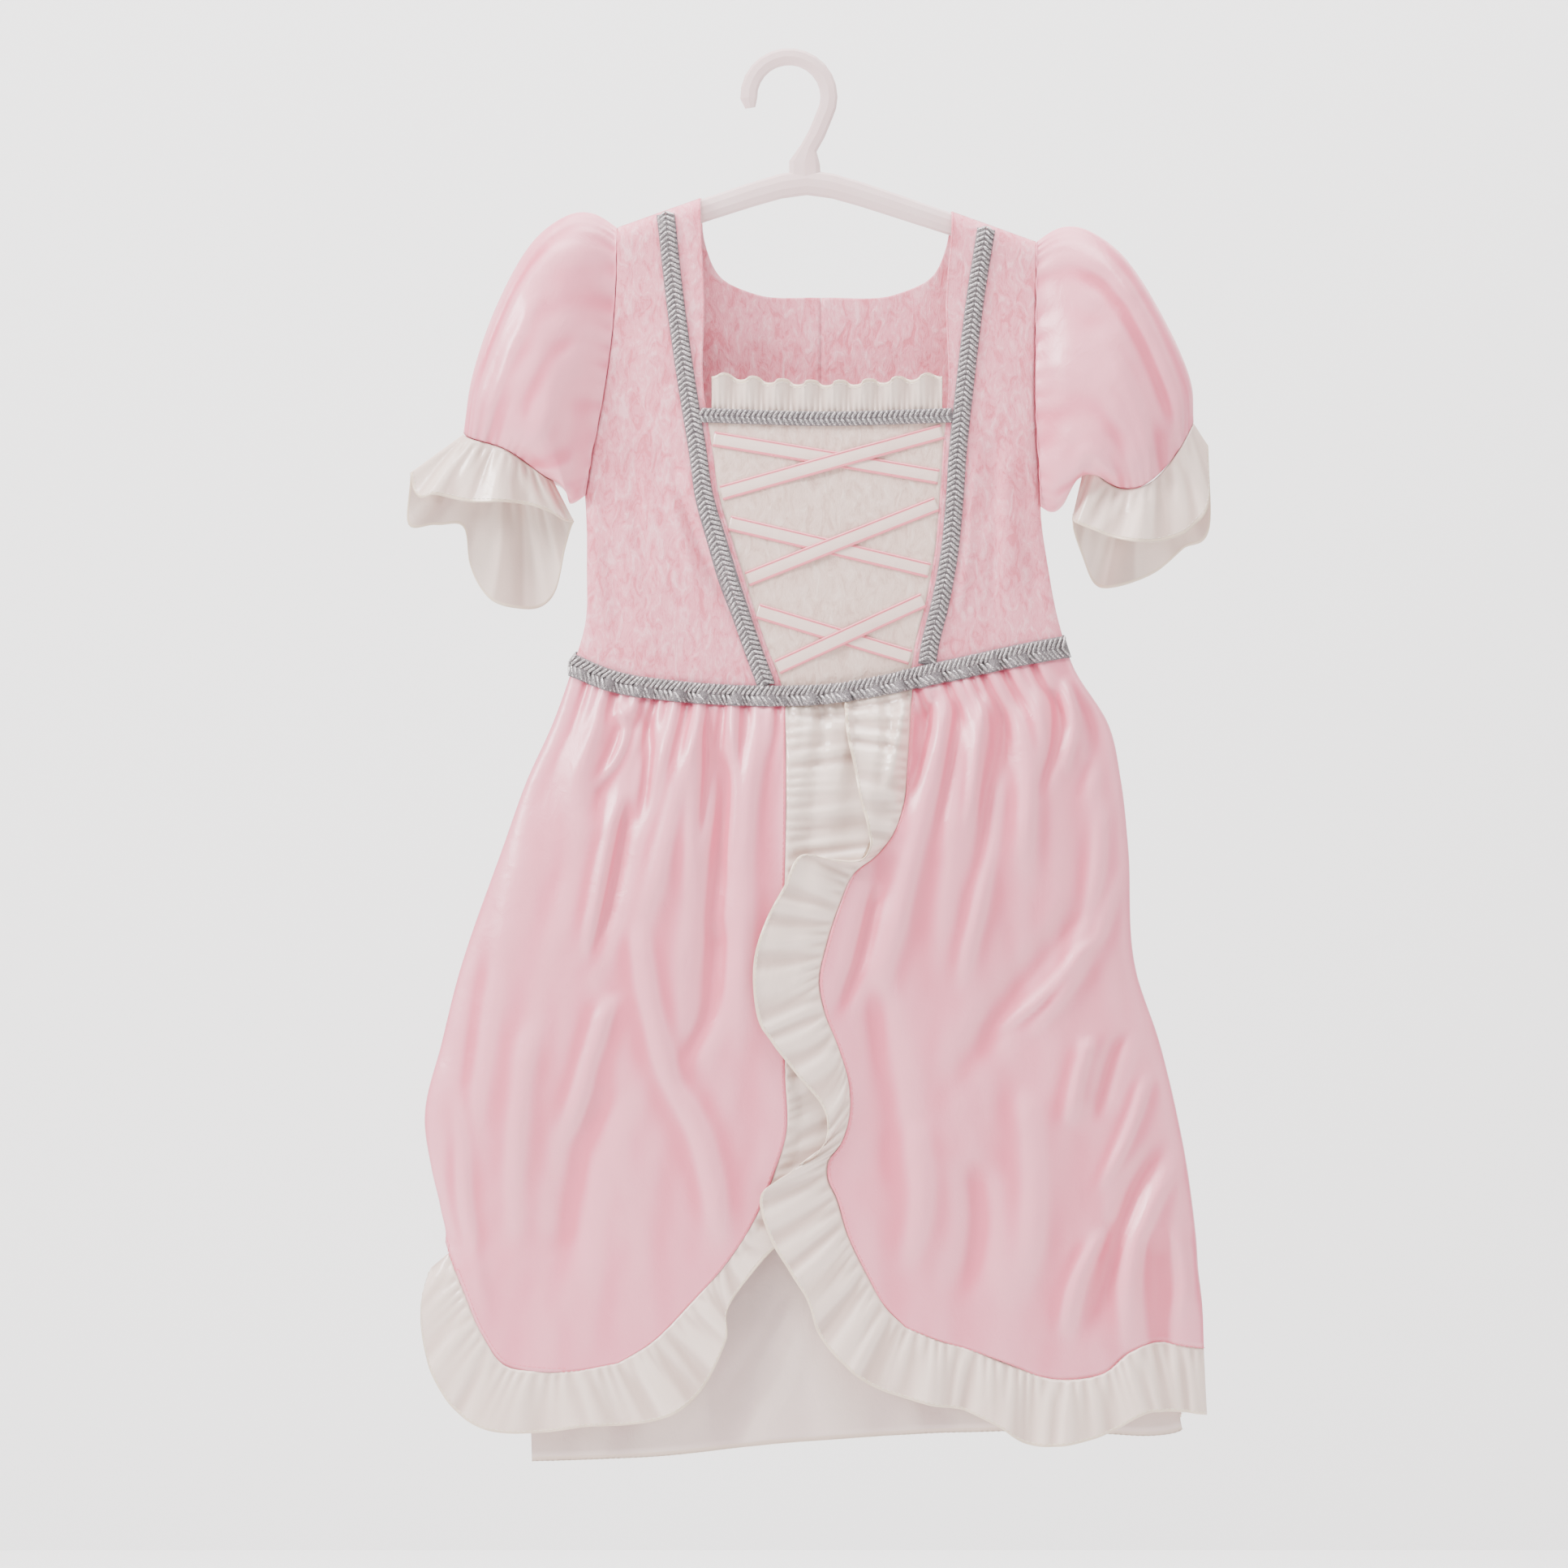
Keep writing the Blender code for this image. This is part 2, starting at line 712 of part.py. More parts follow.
def laid_on(name, surface, us, vs, finish, away, supports, thick, extra=0.0):
    """A trimming of even thickness that lies on the pieces under it, clear of their highest places nearby."""
    fine = 3
    fine_us = np.interp(np.arange(fine * (len(us) - 1) + 1) / fine, np.arange(len(us)), us)
    fine_vs = np.interp(np.arange(fine * (len(vs) - 1) + 1) / fine, np.arange(len(vs)), vs)
    u, v = np.meshgrid(fine_us, fine_vs, indexing="ij")
    face = surface(u, v)
    normal = outward(surface, u, v, np.asarray(away, float))
    heights = np.zeros(u.shape)
    for index in np.ndindex(*u.shape):
        start = Vector(face[index] + normal[index] * FAR_OUT) * MM
        for tree in supports:
            found = tree.ray_cast(start, Vector(-normal[index]), 2 * FAR_OUT * MM)[3]
            if found is not None:
                heights[index] = max(heights[index], FAR_OUT - found / MM)
    resting = np.zeros((len(us), len(vs)))
    for i in range(len(us)):
        for j in range(len(vs)):
            near = heights[max(fine * (i - 1), 0) : fine * (i + 1) + 1, max(fine * (j - 1), 0) : fine * (j + 1) + 1]
            resting[i, j] = near.max()
    resting = resting.max(axis=1, keepdims=True) * np.ones_like(resting)
    lift = resting + LAID_ON + thick + extra
    return wall(name, surface, us, vs, finish, away, thick, lift=lift)


def trees(*names):
    """Search trees of finished pieces, for laying other pieces on them."""
    found = []
    for name in names:
        bm = bmesh.new()
        bm.from_mesh(bpy.data.objects[name].data)
        found.append(BVHTree.FromBMesh(bm))
        bm.free()
    return found


def even(count, start=0.0, end=1.0):
    return np.linspace(start, end, count + 1)


def rows_to_shoulder(count, height):
    """Shares from the shoulder seam down, closer together where the cloth bends over the hanger."""
    bend = SHOULDER_ROUND * (1 - np.cos(np.linspace(0.02, math.pi / 2, 5))) / height
    return np.concatenate([bend, np.linspace(bend[-1], 1, count + 1)[1:]])


BODICE_ROWS = rows_to_shoulder(11, 245)
BACK_BODICE_ROWS = np.concatenate([rows_to_shoulder(7, 245) * NECKLINE_SHARE, np.linspace(NECKLINE_SHARE, 1, 6)[1:]])


def x_at(points, drop):
    """Where a downward path of (x, drop) points is at one drop."""
    rows = np.array(sorted(points, key=lambda p: p[1]), float)
    return float(smooth(rows[:, 1], rows[:, 0], drop))


def neck_edge(braid, sign):
    """The velvet's inner edge, which leaves the braid a little further behind towards the shoulder."""
    rows = np.array(braid, float)
    extra = 11.0 * ease((NECKLINE_DROP - rows[:, 1]) / 100.0)
    return [(x + sign * (VELVET_PAST_BRAID + e), drop) for (x, drop), e in zip(rows, extra)]


def cut_at(points, top=None, bottom=None):
    """The points of a downward path that lie between two drops, with new ends on those drops."""
    rows = sorted((tuple(p) for p in points), key=lambda p: p[1])
    low = rows[0][1] if top is None else top
    high = rows[-1][1] if bottom is None else bottom
    inner = [p for p in rows if low + 1 < p[1] < high - 1]
    return [(x_at(rows, low), low), *inner, (x_at(rows, high), high)]


def waist_edge(x_start, x_end, side, gap):
    """The waist seam between two places, moved down by the gap."""

    def at(share):
        x = x_start + (x_end - x_start) * np.asarray(share, float)
        return x, waist_drop(x, side) + gap

    return at


def shoulder_edge(x_start, x_end):
    def at(share):
        x = x_start + (x_end - x_start) * np.asarray(share, float)
        return x, shoulder_drop(x) + TINY

    return at


def armhole_points(armhole):
    """The armhole from the armpit up, ended on the shoulder line."""
    end_x = armhole[-1][0]
    return [*armhole[:-1], (end_x, float(shoulder_drop(end_x)) + TINY)]


def two_part(first, second, share):
    """One edge made of two, the first up to this share of it."""

    def at(t):
        t = np.asarray(t, float)
        a, b = first(np.clip(t / share, 0, 1)), second(np.clip((t - share) / (1 - share), 0, 1))
        return np.where(t <= share, a[0], b[0]), np.where(t <= share, a[1], b[1])

    return at


def seamed(edge, side, start=None, end=None):
    """The edge on the tube, stretched so that an end lies on the left (-1) or the right (1) side seam."""
    quarter = math.pi / 2 - SIDE_GAP

    def seam_turn(sign, free):
        if sign is None:
            return free
        return sign * quarter if side > 0 else math.pi - sign * quarter

    first, last = (float(angle_at(*edge(share), side)) for share in (0.0, 1.0))
    new_first, new_last = seam_turn(start, first), seam_turn(end, last)

    def at(share):
        x, drop = edge(np.asarray(share, float))
        turn = angle_at(x, drop, side)
        return new_first + (turn - first) * (new_last - new_first) / (last - first), drop

    return at


def build_bodice_sides():
    """The two velvet panels of the front, from the side seams and armholes to the ivory panel."""
    for tag, braid, armhole, sign in (("left", LEFT_BRAID, LEFT_ARMHOLE, 1.0), ("right", RIGHT_BRAID, RIGHT_ARMHOLE, -1.0)):
        inner = [(x - sign * SEAM_HALF, drop) for x, drop in neck_edge(braid, sign)]
        outer = armhole_points(armhole)
        top_drop = float(shoulder_drop(inner[-1][0])) + TINY
        foot_drop = float(waist_drop(inner[0][0])) - SEAM_HALF
        inner = cut_at(inner, top_drop, foot_drop)
        side_x = SIDE_LEFT if sign > 0 else SIDE_RIGHT
        outer_edge = two_part(
            on_tube(path(outer[::-1])),
            side_seam(-sign, FRONT, outer[0][1], float(waist_drop(side_x)) - SEAM_HALF),
            ARMHOLE_SHARE,
        )
        surface = patch(
            body,
            on_tube(shoulder_edge(outer[-1][0], inner[0][0])),
            seamed(waist_edge(side_x, inner[-1][0], FRONT, -SEAM_HALF), FRONT, start=-sign),
            outer_edge,
            on_tube(path(inner)),
        )
        wall(f"bodice_front_{tag}", surface, even(8), BODICE_ROWS, "pink_velvet", (0, -1, 0))


def velvet_rows(braid, sign):
    """The corners of the velvet's inner edge below the neckline, moved over the seam's gap."""
    inner = [(x - sign * SEAM_HALF, drop) for x, drop in neck_edge(braid, sign)]
    inner = cut_at(inner, float(shoulder_drop(inner[-1][0])) + TINY, float(waist_drop(inner[0][0])) - SEAM_HALF)
    rows = np.stack(path(inner)(BODICE_ROWS), axis=-1)
    neck = [(x_at(rows, NECKLINE_DROP), NECKLINE_DROP)]
    rows = np.array([*neck, *[row for row in rows if row[1] > NECKLINE_DROP + 5]])
    rows[:, 0] += sign * 2 * SEAM_HALF
    return rows


def through(rows):
    """A chain of straight lines through (x, drop) corners, evenly shared among them."""
    places = np.linspace(0, 1, len(rows))

    def at(share):
        return np.interp(share, places, rows[:, 0]), np.interp(share, places, rows[:, 1])

    return at


def build_bodice_centre():
    """The ivory panel between the velvet ones, up to the neckline."""
    left, right = velvet_rows(LEFT_BRAID, 1.0), velvet_rows(RIGHT_BRAID, -1.0)
    surface = patch(
        body,
        on_tube(line(left[0], right[0])),
        on_tube(waist_edge(left[-1][0], right[-1][0], FRONT, -SEAM_HALF)),
        on_tube(through(left)),
        on_tube(through(right)),
    )
    wall("bodice_front_centre", surface, even(7), even(len(left) - 1), "ivory_velvet", (0, -1, 0))


def build_bodice_back():
    """Two velvet panels that meet at the opening down the middle of the back."""
    for tag, braid, armhole, sign in (("left", LEFT_BRAID, LEFT_ARMHOLE, 1.0), ("right", RIGHT_BRAID, RIGHT_ARMHOLE, -1.0)):
        neck_x = x_at(neck_edge(braid, sign), 90.0)
        outer = armhole_points(armhole)
        side_x = SIDE_LEFT if sign > 0 else SIDE_RIGHT
        centre_x = BACK_MIDDLE - sign * SEAM_HALF
        outer_edge = two_part(
            on_tube(path(outer[::-1]), BACK),
            side_seam(-sign, BACK, outer[0][1], float(waist_drop(side_x, BACK)) - SEAM_HALF),
            ARMHOLE_SHARE,
        )
        neckline = path(
            (
                (neck_x, float(shoulder_drop(neck_x)) + TINY),
                (neck_x + sign * 2, BACK_NECK_DROP - 30),
                (neck_x + sign * 10, BACK_NECK_DROP - 12),
                (neck_x + sign * 30, BACK_NECK_DROP - 2),
                (centre_x, BACK_NECK_DROP),
            )
        )
        centre = line((centre_x, BACK_NECK_DROP), (centre_x, float(waist_drop(centre_x, BACK)) - SEAM_HALF))
        surface = patch(
            body,
            on_tube(shoulder_edge(outer[-1][0], neck_x), BACK),
            seamed(waist_edge(side_x, centre_x, BACK, -SEAM_HALF), BACK, start=-sign),
            outer_edge,
            two_part(on_tube(neckline, BACK), on_tube(centre, BACK), NECKLINE_SHARE),
        )
        wall(f"bodice_back_{tag}", surface, even(7), BACK_BODICE_ROWS, "pink_velvet", (0, 1, 0))


def strip_surface(curve, width, side=FRONT):
    """A flat strip of this width along a curve of the front view."""

    def at(u, v):
        x, drop = curve(u)
        x_after, drop_after = curve(u + TINY)
        x_before, drop_before = curve(u - TINY)
        run, fall = x_after - x_before, drop_after - drop_before
        length = np.hypot(run, fall)
        across = (v - 0.5) * width
        x = x + fall / length * across
        drop = drop - run / length * across
        return body(angle_at(x, drop, side), drop)

    return at


def build_lacing():
    """Six ribbons that cross in three pairs over the ivory panel, sewn in at its side seams."""
    for number, pair in enumerate(zip(LACING[::2], LACING[1::2]), start=1):
        supports = ["bodice_front_centre", "bodice_front_left", "bodice_front_right"]
        for lace in pair:
            left_x = x_at(neck_edge(LEFT_BRAID, 1.0), lace.left_drop) + 2.2
            right_x = x_at(neck_edge(RIGHT_BRAID, -1.0), lace.right_drop) - 2.2
            curve = line((left_x, lace.left_drop), (right_x, lace.right_drop))
            name = f"lace_ribbon_{number}_{'over' if lace.over else 'under'}"
            surface = strip_surface(curve, LACE_WIDTH)
            laid_on(name, surface, even(11), even(1), "lace_ribbon", (0, -1, 0), trees(*supports), RIBBON_THICK)
            supports.append(name)


def build_braids():
    """Silver braid up both sides of the ivory panel, along the neckline and round the waist."""
    sides = ("bodice_front_left", "bodice_front_right")
    for tag, braid in (("left", LEFT_BRAID), ("right", RIGHT_BRAID)):
        rows = cut_at(braid, bottom=float(waist_drop(braid[0][0])) - WAIST_BRAID_WIDTH / 2 - 3.4)
        surface = strip_surface(path(rows), BRAID_WIDTH)
        shares = rows_to_shoulder(14, 245)
        laid_on(f"braid_{tag}", surface, shares, even(1), "silver_braid", (0, -1, 0), trees(*sides), BRAID_THICK, LAID_ON)
    start = (x_at(LEFT_BRAID, NECKLINE_DROP) + BRAID_WIDTH / 2 + 1.8, NECKLINE_DROP)
    end = (x_at(RIGHT_BRAID, NECKLINE_DROP) - BRAID_WIDTH / 2 - 1.2, NECKLINE_DROP)
    sagging = path((start, ((start[0] + end[0]) / 2, NECKLINE_DROP + 2.0), end))
    under = trees("bodice_front_centre", "neck_ruffle", *sides)
    surface = strip_surface(sagging, BRAID_WIDTH * 0.8)
    laid_on("braid_neckline", surface, even(10), even(1), "silver_braid", (0, -1, 0), under, BRAID_THICK)
    for tag, side, count, supports in (
        ("front", FRONT, 30, ("bodice_front_centre", *sides, "skirt_left", "skirt_right", "skirt_ruffle_left", "skirt_ruffle_right")),
        ("back", BACK, 18, ("bodice_back_left", "bodice_back_right", "skirt_back")),
    ):

        def surface(u, v, side=side):
            turn = (2 * u - 1) * (math.pi / 2 - 2 * SIDE_GAP)
            x = body(turn, np.full(np.shape(turn), 336.0))[..., 0]
            drop = waist_drop(x, side) + (v - 0.5) * WAIST_BRAID_WIDTH
            return body(turn if side > 0 else math.pi - turn, drop)

        laid_on(f"braid_waist_{tag}", surface, even(count), even(2), "silver_braid", (0, -side, 0), trees(*supports), BRAID_THICK)


def build_neck_ruffle():
    """A gathered strip that stands up from the neckline, behind its braid."""
    left_x = x_at(neck_edge(LEFT_BRAID, 1.0), NECKLINE_DROP) + 2.6
    right_x = x_at(neck_edge(RIGHT_BRAID, -1.0), NECKLINE_DROP) - 2.6
    waves = 8.0

    def surface(u, v):
        rise = 1 - v
        turn = 2 * math.pi * waves * u
        x = left_x + (right_x - left_x) * u + 0.8 * rise * np.sin(2 * turn) * np.sin(math.pi * u)
        dip = 5.0 * np.sin(math.pi * u) + 1.5 * np.cos(turn)
        drop = NECKLINE_DROP - 2 * SEAM_HALF - rise * (NECK_RUFFLE_TALL - dip)
        points = body(angle_at(x, drop), drop)
        points[..., 1] -= rise * (2.2 + 2.4 * np.sin(turn)) * ease(rise * 3)
        return points

    wall("neck_ruffle", surface, even(48), even(2), "ivory_satin", (0, -1, 0))


def skirt_rows(count):
    """Shares down a skirt, closer together under the waist, where it is gathered."""
    t = np.linspace(0, 1, count + 1)
    return 0.45 * t**2 + 0.55 * t


def opening_points(opening):
    """An opening edge of the overskirt, started on the waist seam."""
    start_x = opening[0][0]
    return [(start_x, float(waist_drop(start_x)) + SEAM_HALF), *opening[1:]]


def build_overskirt():
    """The pink satin overskirt: two fronts, cut away in a curve from the opening, and a back."""
    opening = opening_points(LEFT_OPENING)
    surface = patch(
        body,
        seamed(waist_edge(SIDE_LEFT, opening[0][0], FRONT, SEAM_HALF), FRONT, start=-1.0),
        seamed(path(LEFT_HEM), FRONT, start=-1.0),
        side_seam(-1.0, FRONT, float(waist_drop(SIDE_LEFT)) + SEAM_HALF, LEFT_HEM[0][1]),
        on_tube(path(opening)),
    )
    wall("skirt_left", surface, even(LEFT_COLUMNS), skirt_rows(SKIRT_ROWS), "pink_satin", (0, -1, 0))

    opening = opening_points(RIGHT_OPENING)
    surface = patch(
        body,
        seamed(waist_edge(opening[0][0], SIDE_RIGHT, FRONT, SEAM_HALF), FRONT, end=1.0),
        seamed(path(RIGHT_HEM), FRONT, end=1.0),
        on_tube(path(opening)),
        side_seam(1.0, FRONT, float(waist_drop(SIDE_RIGHT)) + SEAM_HALF, RIGHT_HEM[-1][1]),
    )
    wall("skirt_right", surface, even(RIGHT_COLUMNS), skirt_rows(SKIRT_ROWS), "pink_satin", (0, -1, 0))

    surface = patch(
        body,
        seamed(waist_edge(SIDE_LEFT, SIDE_RIGHT, BACK, SEAM_HALF), BACK, start=-1.0, end=1.0),
        seamed(path(BACK_HEM), BACK, start=-1.0, end=1.0),
        side_seam(-1.0, BACK, float(waist_drop(SIDE_LEFT, BACK)) + SEAM_HALF, BACK_HEM[0][1]),
        side_seam(1.0, BACK, float(waist_drop(SIDE_RIGHT, BACK)) + SEAM_HALF, BACK_HEM[-1][1]),
    )
    wall("skirt_back", surface, even(BACK_COLUMNS), skirt_rows(10), "pink_satin", (0, 1, 0))


def build_underskirt():
    """The pale underskirt, a narrower tube that hangs lowest."""
    quarter = math.pi / 2 - SIDE_GAP
    for tag, side, count, rows in (("front", FRONT, 18, 10), ("back", BACK, 14, 8)):

        def across(edge, side=side):
            def at(share):
                share = np.asarray(share, float)
                turn = (2 * share - 1) * quarter
                return turn if side > 0 else math.pi - turn, edge(share)[1]

            return at

        top, hem = across(waist_edge(-110, 148, side, 1.0)), across(path(UNDERSKIRT_HEM))
        surface = patch(
            underskirt,
            top,
            hem,
            side_seam(-1.0, side, float(top(0.0)[1]), UNDERSKIRT_HEM[0][1]),
            side_seam(1.0, side, float(top(1.0)[1]), UNDERSKIRT_HEM[-1][1]),
        )
        wall(f"underskirt_{tag}", surface, even(count), skirt_rows(rows), "underskirt_cloth", (0, -side, 0))


def seam_corners(*edges):
    """The corners of a skirt's edge in the front view, from (edge, shares) pairs, each span halved."""
    corners = []
    for edge, shares in edges:
        places = body(*edge(shares))
        rows = np.stack([places[..., 0], -places[..., 2]], axis=-1)
        corners.extend(rows if not corners else rows[1:])
    halved = [corners[0]]
    for before, after in zip(corners, corners[1:]):
        halved += [(before + after) / 2, after]
    return np.array(halved)


def beside(corners, gap):
    """The corners moved off the skirt's edge by the gap, to the side where the ruffle hangs."""
    along = np.gradient(corners, axis=0)
    along /= np.linalg.norm(along, axis=1, keepdims=True)
    return corners + gap * np.stack([along[:, 1], -along[:, 0]], axis=-1)


def ruffle_rows(corners, flutes, sign, back_until, front_lift, back_lift, cells=3):
    """A grid of points from the seam to the free edge, which waves as the flutes say."""
    seam = beside(corners, sign * RUFFLE_GAP)
    shares = np.concatenate([[0], np.cumsum(np.linalg.norm(np.diff(corners, axis=0), axis=1))])
    shares = (shares / shares[-1])[:, None]
    named = {name: smooth(column(flutes, "seam"), column(flutes, name), shares) for name in Flute._fields[1:]}
    v = even(cells)[None, :]
    base = back_lift + (front_lift - back_lift) * ease((shares - back_until) / 0.12)
    x = seam[:, :1] + (named["hem_x"] - seam[:, :1]) * v + named["bow"] * 4 * v * (1 - v)
    drop = seam[:, 1:] + (named["hem_drop"] - seam[:, 1:]) * v
    points = body(angle_at(x, drop), drop)
    points[..., 1] -= base * ease(v * 3) + named["lift"] * v**0.8
    turned = np.stack([x[:, 1] - x[:, 0], drop[:, 1] - drop[:, 0]], axis=-1)
    leaving = (turned * (seam - corners)).sum(-1) / RUFFLE_GAP
    points[:, 0, 1] -= (CLOTH + 2 * LAID_ON) * np.clip(1 - leaving / LEAVING_CLEAR, 0, 1)
    return points


def ruffle_wall(name, points, side):
    """A wall behind a ruffle's points, whose sewn edge faces the skirt's edge squarely."""
    away = np.array((0, -side, 0), float)
    normal = np.cross(np.gradient(points, axis=0), np.gradient(points, axis=1))
    normal /= np.linalg.norm(normal, axis=-1, keepdims=True)
    normal *= np.where((normal * away).sum(-1, keepdims=True) >= 0, 1.0, -1.0)

    def skin(u, v):
        return body(angle_at(u, v, side), v)

    normal[:, 0] = outward(skin, points[:, 0, 0], -points[:, 0, 2], away)
    return closed_wall(name, points, points - normal * CLOTH, "ivory_satin")


def clear_of(points, supports, back):
    """The grid moved softly towards the viewer wherever it would come too near to what lies behind it."""
    needed = np.zeros(points.shape[:2])
    for i, j in np.ndindex(*points.shape[:2]):
        if j == 0:
            continue
        steps = [points[a, b] - points[i, j] for a in (i - 1, i, i + 1) for b in (j - 1, j, j + 1)
                 if 0 <= a < points.shape[0] and 0 < b < points.shape[1]]
        for step in steps:
            start = Vector((points[i, j, 0] + step[0] * 0.6, -3 * FAR_OUT, points[i, j, 2] + step[2] * 0.6)) * MM
            for tree in supports:
                hit = tree.ray_cast(start, Vector((0, 1, 0)), 6 * FAR_OUT * MM)[0]
                if hit is not None:
                    needed[i, j] = max(needed[i, j], points[i, j, 1] - hit.y / MM + back)
    needed[:, 0] = needed[:, 1]
    for _ in range(4):
        neighbours = (np.roll(needed, 1, axis=0) + np.roll(needed, -1, axis=0)) / 2
        needed = np.maximum(needed, neighbours)
    lifted = points.copy()
    lifted[..., 1] -= needed
    return lifted


def build_ruffles():
    """The ruffles down both sides of the opening and round the hem."""
    rows = skirt_rows(SKIRT_ROWS)
    left_hem = seamed(path(LEFT_HEM), FRONT, start=-1.0)
    right_hem = seamed(path(RIGHT_HEM), FRONT, end=1.0)
    left = seam_corners((on_tube(path(opening_points(LEFT_OPENING))), rows), (left_hem, even(LEFT_COLUMNS)[::-1]))
    right = seam_corners((on_tube(path(opening_points(RIGHT_OPENING))), rows), (right_hem, even(RIGHT_COLUMNS)))
    points = ruffle_rows(left[:-2], LEFT_RUFFLE, 1.0, 0.50, 0.4, -2.6)
    ruffle_wall("skirt_ruffle_left", points, FRONT)
    points = ruffle_rows(right, RIGHT_RUFFLE, -1.0, 0.02, 1.0, 0.0)
    points = clear_of(points, trees("skirt_left", "skirt_right", "skirt_ruffle_left"), CLOTH + 2 * LAID_ON)
    ruffle_wall("skirt_ruffle_right", points, FRONT)

    corners = seam_corners((seamed(path(BACK_HEM), BACK, start=-1.0, end=1.0), even(BACK_COLUMNS)))[2:-2]
    seam = beside(corners, -RUFFLE_GAP)
    share = np.linspace(0, 1, len(seam))[:, None]
    turn = 2 * math.pi * 12.0 * share
    fade = np.sin(math.pi * share) ** 0.5
    v = even(2)[None, :]
    x = seam[:, :1] + v * (2.0 * np.sin(2 * turn) * fade)
    drop = seam[:, 1:] + RUFFLE_WIDTH * v
    points = body(angle_at(x, drop, BACK), drop)
    points[..., 1] += v * fade * (3.0 + 3.0 * np.sin(turn))
    ruffle_wall("skirt_ruffle_back", points, BACK)


def sleeve_surface(armhole, rings, sign):
    """A puffed sleeve between a rail over the shoulder and one under the arm. Its ring starts at the front."""
    outline = armhole_points(armhole)
    curve = path(outline)
    shoulder, armpit = outline[-1], outline[0]
    shares = column(rings, "along")

    def at(u, v):
        turn = 2 * math.pi * u
        across, facing = np.sin(turn), np.cos(turn)
        top_x = shoulder[0] + sign * smooth(shares, column(rings, "top_out"), v)
        top_drop = shoulder[1] + smooth(shares, column(rings, "top_down"), v)
        under_x = armpit[0] + sign * smooth(shares, column(rings, "under_out"), v)
        under_drop = armpit[1] + smooth(shares, column(rings, "under_down"), v)
        deep = smooth(shares, column(rings, "depth"), v)
        front_sag = smooth(shares, column(rings, "front_sag"), v)
        back_sag = smooth(shares, column(rings, "back_sag"), v)
        sag = (back_sag + (front_sag - back_sag) * (1 + facing) / 2) * (1 - across**2)
        gathers = 1 + 0.08 * np.cos(7 * turn) * (0.3 + ease((0.3 - v) / 0.3) + ease((v - 0.7) / 0.3))
        x = (top_x + under_x) / 2 + (top_x - under_x) / 2 * across
        drop = (top_drop + under_drop) / 2 + (top_drop - under_drop) / 2 * across + sag
        puffed = np.stack([x + sign * ARMHOLE_GAP, -facing * deep * gathers, -drop], axis=-1)
        edge_x, edge_drop = curve((across + 1) / 2)
        front_y = body(angle_at(edge_x, edge_drop, FRONT), edge_drop)[..., 1]
        back_y = body(angle_at(edge_x, edge_drop, BACK), edge_drop)[..., 1]
        least = 8.0 * np.abs(facing) ** 0.35
        edge_y = np.where(facing >= 0, np.minimum(front_y, -least), np.maximum(back_y, least))
        edge_y = np.where(np.abs(facing) < 1e-9, 0.0, edge_y)
        edge = np.stack([edge_x + sign * ARMHOLE_GAP, edge_y, -edge_drop], axis=-1)
        leave = (1 - (1 - np.minimum(v / 0.24, 1)) ** 2)[..., None]
        return edge * (1 - leave) + puffed * leave

    return at


def cuff_surface(sleeve, armpit_x, hems, sign):
    """The ruffle below a sleeve, from the sleeve's last ring to its own free edge."""
    places = column(hems, "across")

    def at(u, v):
        turn = 2 * math.pi * u
        across, facing = np.sin(turn), np.cos(turn)
        last = sleeve(u, np.full(np.shape(u), 1.0))
        before = sleeve(u, np.full(np.shape(u), 0.97))
        step = last - before
        start = last + 0.7 * step / np.linalg.norm(step, axis=-1, keepdims=True)
        share = ease((1 - facing) / 2)
        front_x = smooth(places, column(hems, "front_out"), across)
        back_x = smooth(places, column(hems, "back_out"), across)
        front_drop = smooth(places, column(hems, "front_drop"), across)
        back_drop = smooth(places, column(hems, "back_drop"), across)
        x = armpit_x + sign * (front_x + (back_x - front_x) * share)
        drop = front_drop + (back_drop - front_drop) * share
        deep = np.maximum(smooth(places, column(hems, "depth"), across), 3.0)
        waves = 1 + 0.16 * np.cos(7 * turn)
        end = np.stack([x, -np.sign(facing) * np.sqrt(np.abs(facing)) * deep * waves, -drop], axis=-1)
        flare = np.clip(v, 0, 1)[..., None] ** 0.9
        return start * (1 - flare) + end * flare

    return at


def build_sleeves():
    """Two short puffed sleeves, each gathered at the armhole and into a ruffled cuff."""
    for tag, armhole, rings, hems, sign in (
        ("left", LEFT_ARMHOLE, LEFT_SLEEVE, LEFT_CUFF, -1.0),
        ("right", RIGHT_ARMHOLE, RIGHT_SLEEVE, RIGHT_CUFF, 1.0),
    ):
        sleeve = sleeve_surface(armhole, rings, sign)
        ring_wall(f"sleeve_{tag}", sleeve, 28, SLEEVE_ROWS, "pink_satin")
        ring_wall(f"sleeve_cuff_{tag}", cuff_surface(sleeve, armhole[0][0], hems, sign), 28, even(3), "ivory_satin")


def ring_wall(name, surface, count, vs, finish):
    """A wall that closes on itself, with its outer face away from its own middle."""
    us = (np.arange(count) + 0.5) / count
    u, v = np.meshgrid(us, vs, indexing="ij")
    face = surface(u, v)
    wall(name, surface, us, vs, finish, face - face.mean(axis=0, keepdims=True), ring=True)


def ellipse(width, thick, count=8):
    turns = np.linspace(0, 2 * math.pi, count, endpoint=False)
    return [(width / 2 * math.cos(t), thick / 2 * math.sin(t)) for t in turns]


def sweep(name, stations, finish):
    """A solid through rings of points in millimetres, with closed ends."""
    bm = bmesh.new()
    rings = [[bm.verts.new(Vector(p) * MM) for p in ring] for ring in stations]
    for first, second in zip(rings, rings[1:]):
        for i in range(len(first)):
            j = (i + 1) % len(first)
            bm.faces.new((first[i], first[j], second[j], second[i]))
    bm.faces.new(rings[0])
    bm.faces.new(rings[-1])
    return add_object(name, bm, finish)


